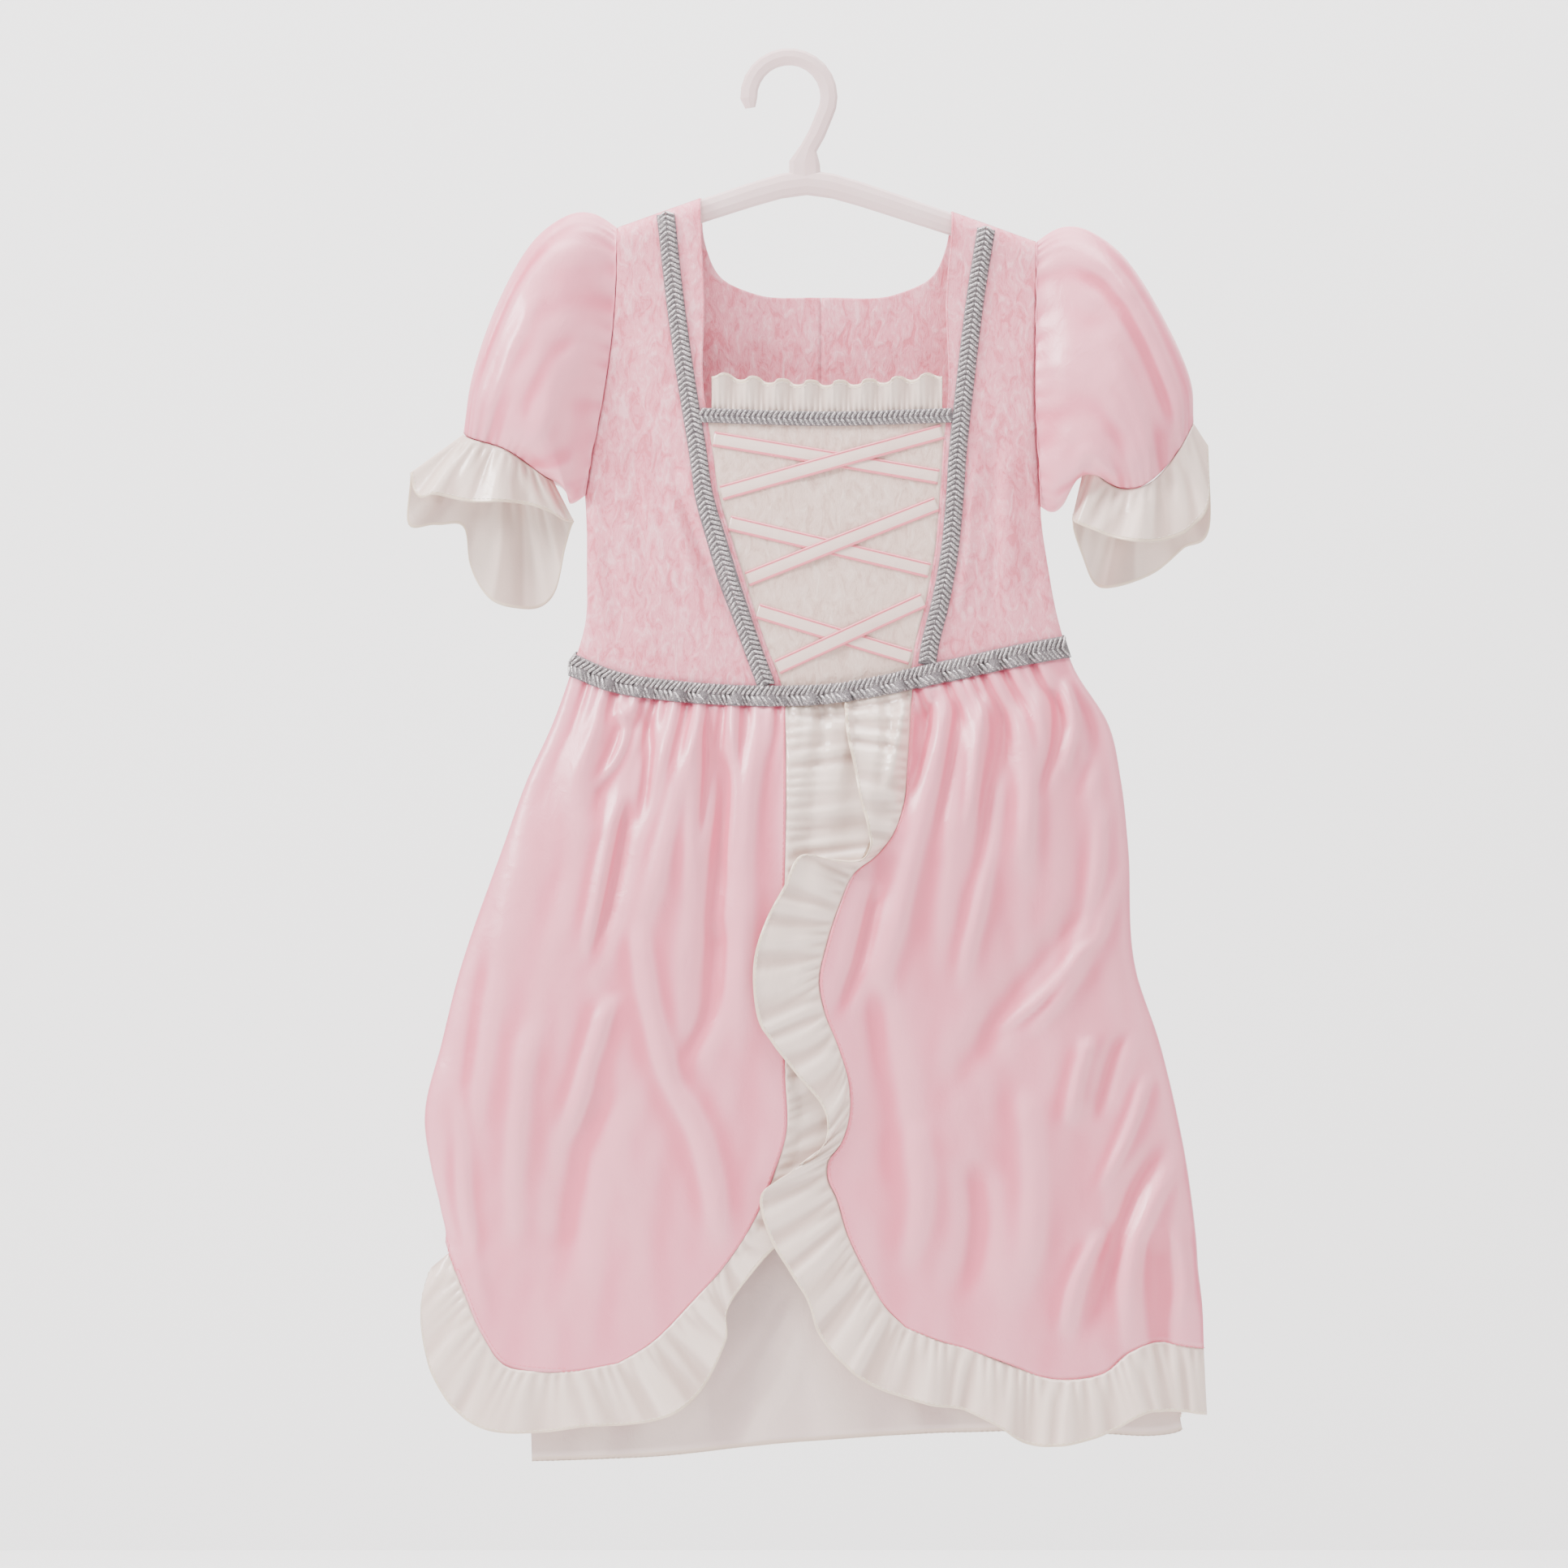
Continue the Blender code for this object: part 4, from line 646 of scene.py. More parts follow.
def relief(folds, x, drop):
    """How far the folds push the cloth out at this place."""
    height = np.zeros(np.broadcast(x, drop).shape)
    for fold in folds:
        drops = (fold.top_drop, fold.mid_drop, fold.low_drop)
        line = smooth(drops, (fold.top_x, fold.mid_x, fold.low_x), np.clip(drop, drops[0], drops[2]))
        share = (drop - fold.top_drop) / (fold.low_drop - fold.top_drop)
        strength = ease(share / 0.2) * ease((1 - share) / 0.35)
        height = height + fold.height * strength * np.exp(-(((x - line) / fold.width) ** 2))
    return height


def crumple(x, drop, size, seed):
    """Soft irregular waves between -1 and 1, about `size` millimetres from crest to crest."""
    x, drop = np.broadcast_arrays(np.asarray(x, float), np.asarray(drop, float))
    values = np.empty(x.shape)
    for index in np.ndindex(*x.shape):
        values[index] = noise.noise(Vector((x[index] / size, drop[index] / size, seed)))
    return values


def gathers(waist_x, below):
    """Small pleats that spring from the waist seam and fade down the skirt."""
    wander = 2.2 * np.sin(waist_x / 13.0) + 1.3 * np.sin(waist_x / 5.3 + 1.0)
    short = np.sin(2 * math.pi * (waist_x + wander) / 8.3) * np.exp(-below / 16.0)
    long = np.sin(2 * math.pi * (waist_x - wander) / 17.0) * np.exp(-below / 60.0)
    return (1.7 * short + 2.3 * long) * ease(below / 5.0)


def tube(angle, drop, silhouette, depths, front_folds, back_folds):
    """A point of a flattened tube. The angle is 0 mid-front and a quarter turn at the right."""
    drops = column(silhouette, "drop")
    left = smooth(drops, column(silhouette, "left"), drop)
    right = smooth(drops, column(silhouette, "right"), drop)
    x = (left + right) / 2 + (right - left) / 2 * np.sin(angle)
    facing = np.cos(angle)
    side = np.where(facing >= 0, FRONT, BACK)
    below = drop - waist_drop(x, side)
    knots = column(depths, "below_waist")
    deep = np.where(
        facing >= 0,
        smooth(knots, column(depths, "front"), below),
        smooth(knots, column(depths, "back"), below),
    )
    rounding = 1 - np.clip((drop - shoulder_drop(x)) / SHOULDER_ROUND, 0, 1)
    deep = deep * np.sqrt(np.clip(1 - rounding**2, 0, 1))
    folded = np.where(facing >= 0, relief(front_folds, x, drop), relief(back_folds, x, drop))
    if silhouette is BODY:
        waist_x = (SIDE_LEFT + SIDE_RIGHT) / 2 + (SIDE_RIGHT - SIDE_LEFT) / 2 * np.sin(angle)
        folded = folded + gathers(waist_x, np.maximum(below, 0.0))
    flat_share = 1 - (1 - np.abs(facing)) ** 3
    y = -facing * deep - side * (folded * flat_share + SEAM_HALF + SHOULDER_GAP * rounding**4)
    return np.stack([x, y, -np.asarray(drop) * np.ones_like(x)], axis=-1)


def body(angle, drop):
    return tube(angle, drop, BODY, BODY_DEPTH, FRONT_FOLDS, BACK_FOLDS)


def underskirt(angle, drop):
    return tube(angle, drop, UNDERSKIRT, UNDERSKIRT_DEPTH, UNDER_FRONT_FOLDS, UNDER_BACK_FOLDS)


def angle_at(x, drop, side=FRONT, silhouette=BODY):
    """The tube's angle at a place of the front view, on its front or its back."""
    drops = column(silhouette, "drop")
    left = smooth(drops, column(silhouette, "left"), drop)
    right = smooth(drops, column(silhouette, "right"), drop)
    turn = np.arcsin(np.clip((x - (left + right) / 2) / ((right - left) / 2), -1, 1))
    return np.where(np.asarray(side) > 0, turn, math.pi - turn)


def path(points):
    """A smooth curve through (x, drop) points, as a function of the share along it."""
    rows = np.array(points, float)
    along = np.concatenate([[0], np.cumsum(np.hypot(*np.diff(rows, axis=0).T))])
    along /= along[-1]

    def at(share):
        return smooth(along, rows[:, 0], share), smooth(along, rows[:, 1], share)

    return at


def on_tube(curve, side=FRONT, silhouette=BODY):
    """The same curve as (angle, drop) on the tube, kept off the side seams."""

    def at(share):
        x, drop = curve(share)
        turn = angle_at(x, drop, side, silhouette)
        middle = 0.0 if side > 0 else math.pi
        reach = math.pi / 2 - SIDE_GAP
        return np.clip(turn, middle - reach, middle + reach), drop

    return at


def line(start, end):
    """A straight edge between two (x, drop) points."""

    def at(share):
        share = np.asarray(share, float)
        return start[0] + (end[0] - start[0]) * share, start[1] + (end[1] - start[1]) * share

    return at


def side_seam(sign, side, top, bottom):
    """The side seam of the front or the back, from one drop to another."""
    quarter = math.pi / 2 - SIDE_GAP
    turn = sign * quarter if side > 0 else math.pi - sign * quarter

    def at(share):
        share = np.asarray(share, float)
        return np.full(share.shape, turn), top + (bottom - top) * share

    return at


def patch(surface, top, bottom, left, right):
    """A panel between four edges. Each gives (angle, drop) by the share along it, from the left or top."""
    corner = {
        (i, j): np.array([float(value) for value in edge(float(i))])
        for j, edge in enumerate((top, bottom))
        for i in (0, 1)
    }

    def at(u, v):
        mixed = []
        for k in (0, 1):
            across = (1 - v) * top(u)[k] + v * bottom(u)[k]
            down = (1 - u) * left(v)[k] + u * right(v)[k]
            corners = (1 - u) * ((1 - v) * corner[0, 0][k] + v * corner[0, 1][k])
            corners = corners + u * ((1 - v) * corner[1, 0][k] + v * corner[1, 1][k])
            mixed.append(across + down - corners)
        return surface(mixed[0], mixed[1])

    return at


def outward(surface, u, v, away):
    """The unit normals of a surface, on the side that `away` points to."""
    du = surface(u + TINY, v) - surface(u - TINY, v)
    dv = surface(u, v + TINY) - surface(u, v - TINY)
    normal = np.cross(du, dv)
    normal = normal / np.maximum(np.linalg.norm(normal, axis=-1, keepdims=True), 1e-12)
    return normal * (1.0 if float((normal * away).sum(-1).mean()) >= 0 else -1.0)


def even(count, start=0.0, end=1.0):
    return np.linspace(start, end, count + 1)


def rows_to_shoulder(count, height):
    """Shares from the shoulder seam down, closer together where the cloth bends over the hanger."""
    bend = SHOULDER_ROUND * (1 - np.cos(np.linspace(0.02, math.pi / 2, 5))) / height
    return np.concatenate([bend, np.linspace(bend[-1], 1, count + 1)[1:]])


def x_at(points, drop):
    """Where a downward path of (x, drop) points is at one drop."""
    rows = np.array(sorted(points, key=lambda p: p[1]), float)
    return float(smooth(rows[:, 1], rows[:, 0], drop))


def neck_edge(braid, sign):
    """The velvet's inner edge, which leaves the braid a little further behind towards the shoulder."""
    rows = np.array(braid, float)
    extra = 11.0 * ease((NECKLINE_DROP - rows[:, 1]) / 100.0)
    return [(x + sign * (VELVET_PAST_BRAID + e), drop) for (x, drop), e in zip(rows, extra)]


def cut_at(points, top=None, bottom=None):
    """The points of a downward path that lie between two drops, with new ends on those drops."""
    rows = sorted((tuple(p) for p in points), key=lambda p: p[1])
    low = rows[0][1] if top is None else top
    high = rows[-1][1] if bottom is None else bottom
    inner = [p for p in rows if low + 1 < p[1] < high - 1]
    return [(x_at(rows, low), low), *inner, (x_at(rows, high), high)]


def waist_edge(x_start, x_end, side, gap):
    """The waist seam between two places, moved down by the gap."""

    def at(share):
        x = x_start + (x_end - x_start) * np.asarray(share, float)
        return x, waist_drop(x, side) + gap

    return at


def shoulder_edge(x_start, x_end):
    def at(share):
        x = x_start + (x_end - x_start) * np.asarray(share, float)
        return x, shoulder_drop(x) + TINY

    return at


def armhole_points(armhole):
    """The armhole from the armpit up, ended on the shoulder line."""
    end_x = armhole[-1][0]
    return [*armhole[:-1], (end_x, float(shoulder_drop(end_x)) + TINY)]


def two_part(first, second, share):
    """One edge made of two, the first up to this share of it."""

    def at(t):
        t = np.asarray(t, float)
        a, b = first(np.clip(t / share, 0, 1)), second(np.clip((t - share) / (1 - share), 0, 1))
        return np.where(t <= share, a[0], b[0]), np.where(t <= share, a[1], b[1])

    return at


def seamed(edge, side, start=None, end=None):
    """The edge on the tube, stretched so that an end lies on the left (-1) or the right (1) side seam."""
    quarter = math.pi / 2 - SIDE_GAP

    def seam_turn(sign, free):
        if sign is None:
            return free
        return sign * quarter if side > 0 else math.pi - sign * quarter

    first, last = (float(angle_at(*edge(share), side)) for share in (0.0, 1.0))
    new_first, new_last = seam_turn(start, first), seam_turn(end, last)

    def at(share):
        x, drop = edge(np.asarray(share, float))
        turn = angle_at(x, drop, side)
        return new_first + (turn - first) * (new_last - new_first) / (last - first), drop

    return at


def strip_surface(curve, width, side=FRONT):
    """A flat strip of this width along a curve of the front view."""

    def at(u, v):
        x, drop = curve(u)
        x_after, drop_after = curve(u + TINY)
        x_before, drop_before = curve(u - TINY)
        run, fall = x_after - x_before, drop_after - drop_before
        length = np.hypot(run, fall)
        across = (v - 0.5) * width
        x = x + fall / length * across
        drop = drop - run / length * across
        return body(angle_at(x, drop, side), drop)

    return at


def skirt_rows(count):
    """Shares down a skirt, closer together under the waist, where it is gathered."""
    t = np.linspace(0, 1, count + 1)
    return 0.45 * t**2 + 0.55 * t


def opening_points(opening):
    """An opening edge of the overskirt, started on the waist seam."""
    start_x = opening[0][0]
    return [(start_x, float(waist_drop(start_x)) + SEAM_HALF), *opening[1:]]


def seam_corners(*edges):
    """Places along a skirt's edge in the front view, from (edge, shares) pairs."""
    corners = []
    for edge, shares in edges:
        places = body(*edge(shares))
        rows = np.stack([places[..., 0], -places[..., 2]], axis=-1)
        corners.extend(rows if not corners else rows[1:])
    return np.array(corners)


def beside(corners, gap):
    """The corners moved off the skirt's edge by the gap, to the side where the ruffle hangs."""
    along = np.gradient(corners, axis=0)
    along /= np.linalg.norm(along, axis=1, keepdims=True)
    return corners + gap * np.stack([along[:, 1], -along[:, 0]], axis=-1)


def ruffle_rows(corners, flutes, sign, back_until, front_lift, back_lift, cells, small_waves):
    """A grid of points from the seam to the free edge, which waves as the flutes say, with small gathers."""
    seam = beside(corners, sign * RUFFLE_GAP)
    lengths = np.concatenate([[0], np.cumsum(np.linalg.norm(np.diff(corners, axis=0), axis=1))])
    shares = (lengths / lengths[-1])[:, None]
    named = {name: smooth(column(flutes, "seam"), column(flutes, name), shares) for name in Flute._fields[1:]}
    v = even(cells)[None, :]
    base = back_lift + (front_lift - back_lift) * ease((shares - back_until) / 0.12)
    x = seam[:, :1] + (named["hem_x"] - seam[:, :1]) * v + named["bow"] * 4 * v * (1 - v)
    drop = seam[:, 1:] + (named["hem_drop"] - seam[:, 1:]) * v
    points = body(angle_at(x, drop), drop)
    along = lengths[:, None]
    wander = 1.6 * np.sin(along / 9.0) + 1.1 * np.sin(along / 4.1 + 0.7)
    gathered = np.sin(2 * math.pi * (along + wander) / 6.4) * np.exp(-v * 3.2) * ease(v * 12)
    waved = np.sin(2 * math.pi * (along - 1.4 * wander) / 15.5 + 1.6 * v) * ease(v * 2.5)
    hem = 0.25 * ease((v - 0.93) / 0.02) * ease((1.0 - v) / 0.02)
    points[..., 1] -= base * ease(v * 3) + named["lift"] * v**0.8
    points[..., 1] -= small_waves * (0.7 * gathered + 0.8 * waved) + hem
    turned = np.stack([x[:, 1] - x[:, 0], drop[:, 1] - drop[:, 0]], axis=-1)
    turned /= np.linalg.norm(turned, axis=1, keepdims=True)
    leaving = 12.0 * (turned * (seam - corners)).sum(-1) / RUFFLE_GAP
    points[:, 0, 1] -= (CLOTH + 2 * LAID_ON) * np.clip(1 - leaving / LEAVING_CLEAR, 0, 1)
    return points


def clear_of(points, supports, back):
    """The grid moved softly towards the viewer wherever it would come too near to what lies behind it."""
    needed = np.zeros(points.shape[:2])
    for i, j in np.ndindex(*points.shape[:2]):
        if j == 0:
            continue
        start = Vector((points[i, j, 0], -3 * FAR_OUT, points[i, j, 2])) * MM
        for tree in supports:
            hit = tree.ray_cast(start, Vector((0, 1, 0)), 6 * FAR_OUT * MM)[0]
            if hit is not None:
                needed[i, j] = max(needed[i, j], points[i, j, 1] - hit.y / MM + back)
    needed[:, 0] = needed[:, 1]
    for _ in range(24):
        across = np.pad(needed, ((1, 1), (0, 0)), mode="edge")
        needed = np.maximum(needed, (across[:-2] + across[2:]) / 2 - 0.02)
        down = np.pad(needed, ((0, 0), (1, 1)), mode="edge")
        needed = np.maximum(needed, (down[:, :-2] + down[:, 2:]) / 2 - 0.02)
    lifted = points.copy()
    lifted[..., 1] -= needed
    return lifted


def sleeve_surface(armhole, rings, sign):
    """A puffed sleeve between a rail over the shoulder and one under the arm. Rings start at the front."""
    outline = armhole_points(armhole)
    curve = path(outline)
    shoulder, armpit = outline[-1], outline[0]
    shares = column(rings, "along")

    def at(u, v):
        turn = 2 * math.pi * u
        across, facing = np.sin(turn), np.cos(turn)
        top_x = shoulder[0] + sign * smooth(shares, column(rings, "top_out"), v)
        top_drop = shoulder[1] + smooth(shares, column(rings, "top_down"), v)
        under_x = armpit[0] + sign * smooth(shares, column(rings, "under_out"), v)
        under_drop = armpit[1] + smooth(shares, column(rings, "under_down"), v)
        deep = smooth(shares, column(rings, "depth"), v)
        front_sag = smooth(shares, column(rings, "front_sag"), v)
        back_sag = smooth(shares, column(rings, "back_sag"), v)
        sag = (back_sag + (front_sag - back_sag) * (1 + facing) / 2) * (1 - across**2)
        puckers = 1 + 0.08 * np.cos(7 * turn) * (0.3 + ease((0.3 - v) / 0.3) + ease((v - 0.7) / 0.3))
        x = (top_x + under_x) / 2 + (top_x - under_x) / 2 * across
        drop = (top_drop + under_drop) / 2 + (top_drop - under_drop) / 2 * across + sag
        puffed = np.stack([x + sign * ARMHOLE_GAP, -facing * deep * puckers, -drop], axis=-1)
        edge_x, edge_drop = curve((across + 1) / 2)
        front_y = body(angle_at(edge_x, edge_drop, FRONT), edge_drop)[..., 1]
        back_y = body(angle_at(edge_x, edge_drop, BACK), edge_drop)[..., 1]
        least = 8.0 * np.abs(facing) ** 0.35
        edge_y = np.where(facing >= 0, np.minimum(front_y, -least), np.maximum(back_y, least))
        edge_y = np.where(np.abs(facing) < 1e-9, 0.0, edge_y)
        edge = np.stack([edge_x + sign * ARMHOLE_GAP, edge_y, -edge_drop], axis=-1)
        leave = (1 - (1 - np.minimum(v / 0.24, 1)) ** 2)[..., None]
        return edge * (1 - leave) + puffed * leave

    return at


def cuff_surface(sleeve, armpit_x, hems, sign):
    """The ruffle below a sleeve, from the sleeve's last ring to its own free edge."""
    places = column(hems, "across")

    def at(u, v):
        turn = 2 * math.pi * u
        across, facing = np.sin(turn), np.cos(turn)
        last = sleeve(u, np.full(np.shape(u), 1.0))
        before = sleeve(u, np.full(np.shape(u), 0.97))
        step = last - before
        start = last + 0.7 * step / np.linalg.norm(step, axis=-1, keepdims=True)
        share = ease((1 - facing) / 2)
        front_x = smooth(places, column(hems, "front_out"), across)
        back_x = smooth(places, column(hems, "back_out"), across)
        front_drop = smooth(places, column(hems, "front_drop"), across)
        back_drop = smooth(places, column(hems, "back_drop"), across)
        x = armpit_x + sign * (front_x + (back_x - front_x) * share)
        drop = front_drop + (back_drop - front_drop) * share
        deep = np.maximum(smooth(places, column(hems, "depth"), across), 3.0)
        waves = 1 + 0.16 * np.cos(7 * turn)
        end = np.stack([x, -np.sign(facing) * np.sqrt(np.abs(facing)) * deep * waves, -drop], axis=-1)
        flare = np.clip(v, 0, 1)[..., None] ** 0.9
        return start * (1 - flare) + end * flare

    return at


class Socket:
    """A value that varies over a surface, so that shader maths reads as plain expressions."""

    def __init__(self, nodes, socket):
        self.nodes = nodes
        self.socket = socket

    def math(self, operation, *values):
        return self.nodes.add("ShaderNodeMath", {"operation": operation}, dict(enumerate(values)))

    def __add__(self, other):
        return self.math("ADD", self, other)

    def __sub__(self, other):
        return self.math("SUBTRACT", self, other)

    def __rsub__(self, other):
        return self.math("SUBTRACT", other, self)

    def __mul__(self, other):
        return self.math("MULTIPLY", self, other)

    __radd__ = __add__
    __rmul__ = __mul__


class Nodes:
    """The node tree of one finish."""

    def __init__(self, name, **constants):
        self.material = bpy.data.materials.new(name)
        self.material.use_nodes = True
        self.tree = self.material.node_tree
        self.shader = self.tree.nodes["Principled BSDF"]
        for socket, value in constants.items():
            self.shader.inputs[socket.replace("_", " ")].default_value = value

    def add(self, kind, settings=None, values=None, output=0):
        node = self.tree.nodes.new(kind)
        for name, value in (settings or {}).items():
            if name == "stops":
                for stop, (place, colour) in zip(node.color_ramp.elements, value):
                    stop.position = place
                    stop.color = (*colour, 1.0)
            else:
                setattr(node, name, value)
        for name, value in (values or {}).items():
            self.give(node.inputs[name], value)
        return Socket(self, node.outputs[output])

    def give(self, socket, value):
        if isinstance(value, Socket):
            self.tree.links.new(value.socket, socket)
        elif hasattr(value, "__len__") and socket.type == "RGBA":
            socket.default_value = (*value, 1.0)
        else:
            socket.default_value = value

    def feed(self, name, value):
        self.give(self.shader.inputs[name], value)

    def place(self):
        return self.add("ShaderNodeTexCoord", output="Object")

    def stretched(self, scale):
        return self.add("ShaderNodeMapping", None, {"Vector": self.place(), "Scale": scale})

    def noise(self, vector, scale, detail=2.0, roughness=0.5, distortion=0.0):
        values = {"Vector": vector, "Scale": scale, "Detail": detail}
        values.update({"Roughness": roughness, "Distortion": distortion})
        return self.add("ShaderNodeTexNoise", None, values, output="Fac")

    def between(self, value, low, high, to_low=0.0, to_high=1.0):
        values = {"Value": value, "From Min": low, "From Max": high, "To Min": to_low, "To Max": to_high}
        return self.add("ShaderNodeMapRange", {"interpolation_type": "SMOOTHSTEP"}, values, output="Result")

    def mix(self, share, first, second):
        return self.add("ShaderNodeMix", {"data_type": "RGBA"}, {0: share, 6: first, 7: second}, output=2)

    def attribute(self, name):
        return self.add("ShaderNodeAttribute", {"attribute_name": name}, output="Fac")

    def bump(self, height, distance, strength=1.0, under=None):
        values = {"Height": height, "Distance": distance, "Strength": strength}
        if under is not None:
            values["Normal"] = under
        return self.add("ShaderNodeBump", None, values)


def satin(name, light, deep, hem_colour, roughness, hem_width):
    """A light satin, painted deeper in its troughs as shade, with faint crumples, a fine grain and a turned
    edge.
    """
    nodes = Nodes(name, Roughness=roughness, Specular_IOR_Level=0.75, Coat_Weight=0.2, Coat_Roughness=0.3)
    clouds = nodes.noise(nodes.stretched((1.6, 0.4, 0.6)), 22.0, 2.0)
    # Painted shade: the colour runs from the deep colour in the troughs to the light colour on the ridges, by
    # the fold height.
    ridge = nodes.between(nodes.attribute("fold_height") + (clouds - 0.5) * 0.5, -0.8, 0.5)
    colour = nodes.mix(ridge, deep, light)
    near_edge = nodes.between(nodes.attribute("edge"), hem_width, hem_width + 0.4, 1.0, 0.0)
    nodes.feed("Base Color", nodes.mix(near_edge * 0.8, colour, hem_colour))
    soft = nodes.noise(nodes.stretched((1.0, 0.6, 0.8)), 95.0, 3.0, 0.55, 0.6)
    fine = nodes.noise(nodes.stretched((2.2, 1.0, 1.0)), 900.0, 2.0)
    creased = nodes.bump(soft, 0.0022, 0.22)
    nodes.feed("Normal", nodes.bump(fine, 0.00012, 0.4, creased))
    return nodes.material


def velvet(name, raised, brushed, deep):
    """Crushed velvet: patches of nap that lie different ways, streaked with short fibres."""
    nodes = Nodes(name, Roughness=0.72, Sheen_Weight=0.6, Sheen_Roughness=0.35)
    nodes.shader.inputs["Sheen Tint"].default_value = (*raised, 1.0)
    patches = nodes.noise(nodes.stretched((1.5, 0.6, 0.75)), 120.0, 4.0, 0.62, 1.2)
    fibres = nodes.noise(nodes.stretched((4.5, 1.0, 1.0)), 420.0, 3.0, 0.7, 0.4)
    nap = patches * 0.72 + fibres * 0.28
    colour = nodes.mix(nodes.between(nap, 0.38, 0.5), deep, brushed)
    nodes.feed("Base Color", nodes.mix(nodes.between(nap, 0.5, 0.64), colour, raised))
    nodes.feed("Roughness", nodes.between(nap, 0.35, 0.65, 0.82, 0.55))
    hollow = nodes.bump(patches, 0.0016, 0.45)
    nodes.feed("Normal", nodes.bump(fibres, 0.0005, 0.6, hollow))
    return nodes.material


def yarn(name, light, dark, roughness, metallic):
    """Spun metallic thread, its colour painted with glints along its twist and with shade between them."""
    nodes = Nodes(name, Roughness=roughness, Metallic=metallic, Sheen_Weight=0.1)
    glints = nodes.noise(nodes.place(), 1500.0, 2.0, 0.6)
    # Painted glints and painted shade: the colour runs from dark to light by the glints.
    nodes.feed("Base Color", nodes.mix(nodes.between(glints, 0.4, 0.62), dark, light))
    nodes.feed("Normal", nodes.bump(glints, 0.0003, 0.5))
    return nodes.material


def plain_thread(name, colour):
    return Nodes(name, Base_Color=(*colour, 1.0), Roughness=0.6, Sheen_Weight=0.2).material


def clouded_plastic(name):
    """Pale pink plastic that lets some light through."""
    nodes = Nodes(name, Roughness=0.32, IOR=1.47, Transmission_Weight=0.25, Coat_Weight=0.15)
    cloud = nodes.noise(nodes.place(), 45.0, 2.0)
    nodes.feed("Base Color", nodes.mix(cloud, (0.88, 0.62, 0.62), (0.93, 0.74, 0.73)))
    nodes.feed("Normal", nodes.bump(nodes.noise(nodes.place(), 220.0, 2.0), 0.0002, 0.3))
    return nodes.material


# The second colour of each satin is the painted shade in its troughs.
PINK_SATIN = satin("pink_satin_cloth", (0.86, 0.31, 0.39), (0.74, 0.16, 0.24), (0.80, 0.16, 0.24), 0.36, 0.9)
IVORY_SATIN = satin("ivory_satin_cloth", (0.82, 0.65, 0.57), (0.62, 0.45, 0.39), (0.72, 0.56, 0.42), 0.3, 1.6)
UNDERSKIRT_CLOTH = satin(
    "underskirt_lining_cloth", (0.72, 0.56, 0.51), (0.62, 0.46, 0.43), (0.66, 0.50, 0.41), 0.5, 2.2
)
PINK_VELVET = velvet("pink_velvet_cloth", (0.93, 0.45, 0.52), (0.84, 0.29, 0.36), (0.72, 0.18, 0.24))
IVORY_VELVET = velvet("ivory_velvet_cloth", (0.82, 0.64, 0.56), (0.74, 0.53, 0.46), (0.63, 0.42, 0.36))
RIBBON_SATIN = satin("ribbon_satin", (0.86, 0.66, 0.59), (0.80, 0.57, 0.51), (0.84, 0.13, 0.20), 0.28, 1.3)
SILVER_YARN = yarn("silver_yarn", (0.66, 0.61, 0.61), (0.20, 0.175, 0.18), 0.36, 0.8)
# The braid's base under its links, painted dark as the shade in the gaps between them.
BRAID_GAP_SHADE = yarn("braid_gap_shade", (0.26, 0.23, 0.235), (0.12, 0.10, 0.11), 0.55, 0.4)
PINK_THREAD = plain_thread("pink_thread", (0.84, 0.20, 0.27))
IVORY_THREAD = plain_thread("ivory_thread", (0.80, 0.71, 0.62))
PLASTIC = clouded_plastic("clouded_hanger_plastic")

trees = {}
on_sheet = {}


def declare_sheet(obj, *pieces, **cut):
    """Keeps the pieces on a cloth, under the cloth's name. The cut that is given is not used."""
    on_sheet.setdefault(obj.name, []).extend(pieces)


def mesh_normals(points):
    normal = np.cross(np.gradient(points, axis=0), np.gradient(points, axis=1))
    return normal / np.maximum(np.linalg.norm(normal, axis=-1, keepdims=True), 1e-12)


def fold_heights(points, away, ring):
    """How far each point stands above the cloth on its two sides, in millimetres."""
    height = np.abs(points[..., 1]) if ring else points[..., 1] * np.asarray(away, float)[1]
    rows = np.arange(len(points))[:, None] + np.arange(-FOLD_REACH, FOLD_REACH + 1)
    rows = rows % len(points) if ring else np.clip(rows, 0, len(points) - 1)
    near_side = ease(height / 9.0) if ring else 1.0
    return (height - height[rows].mean(axis=1)) * near_side


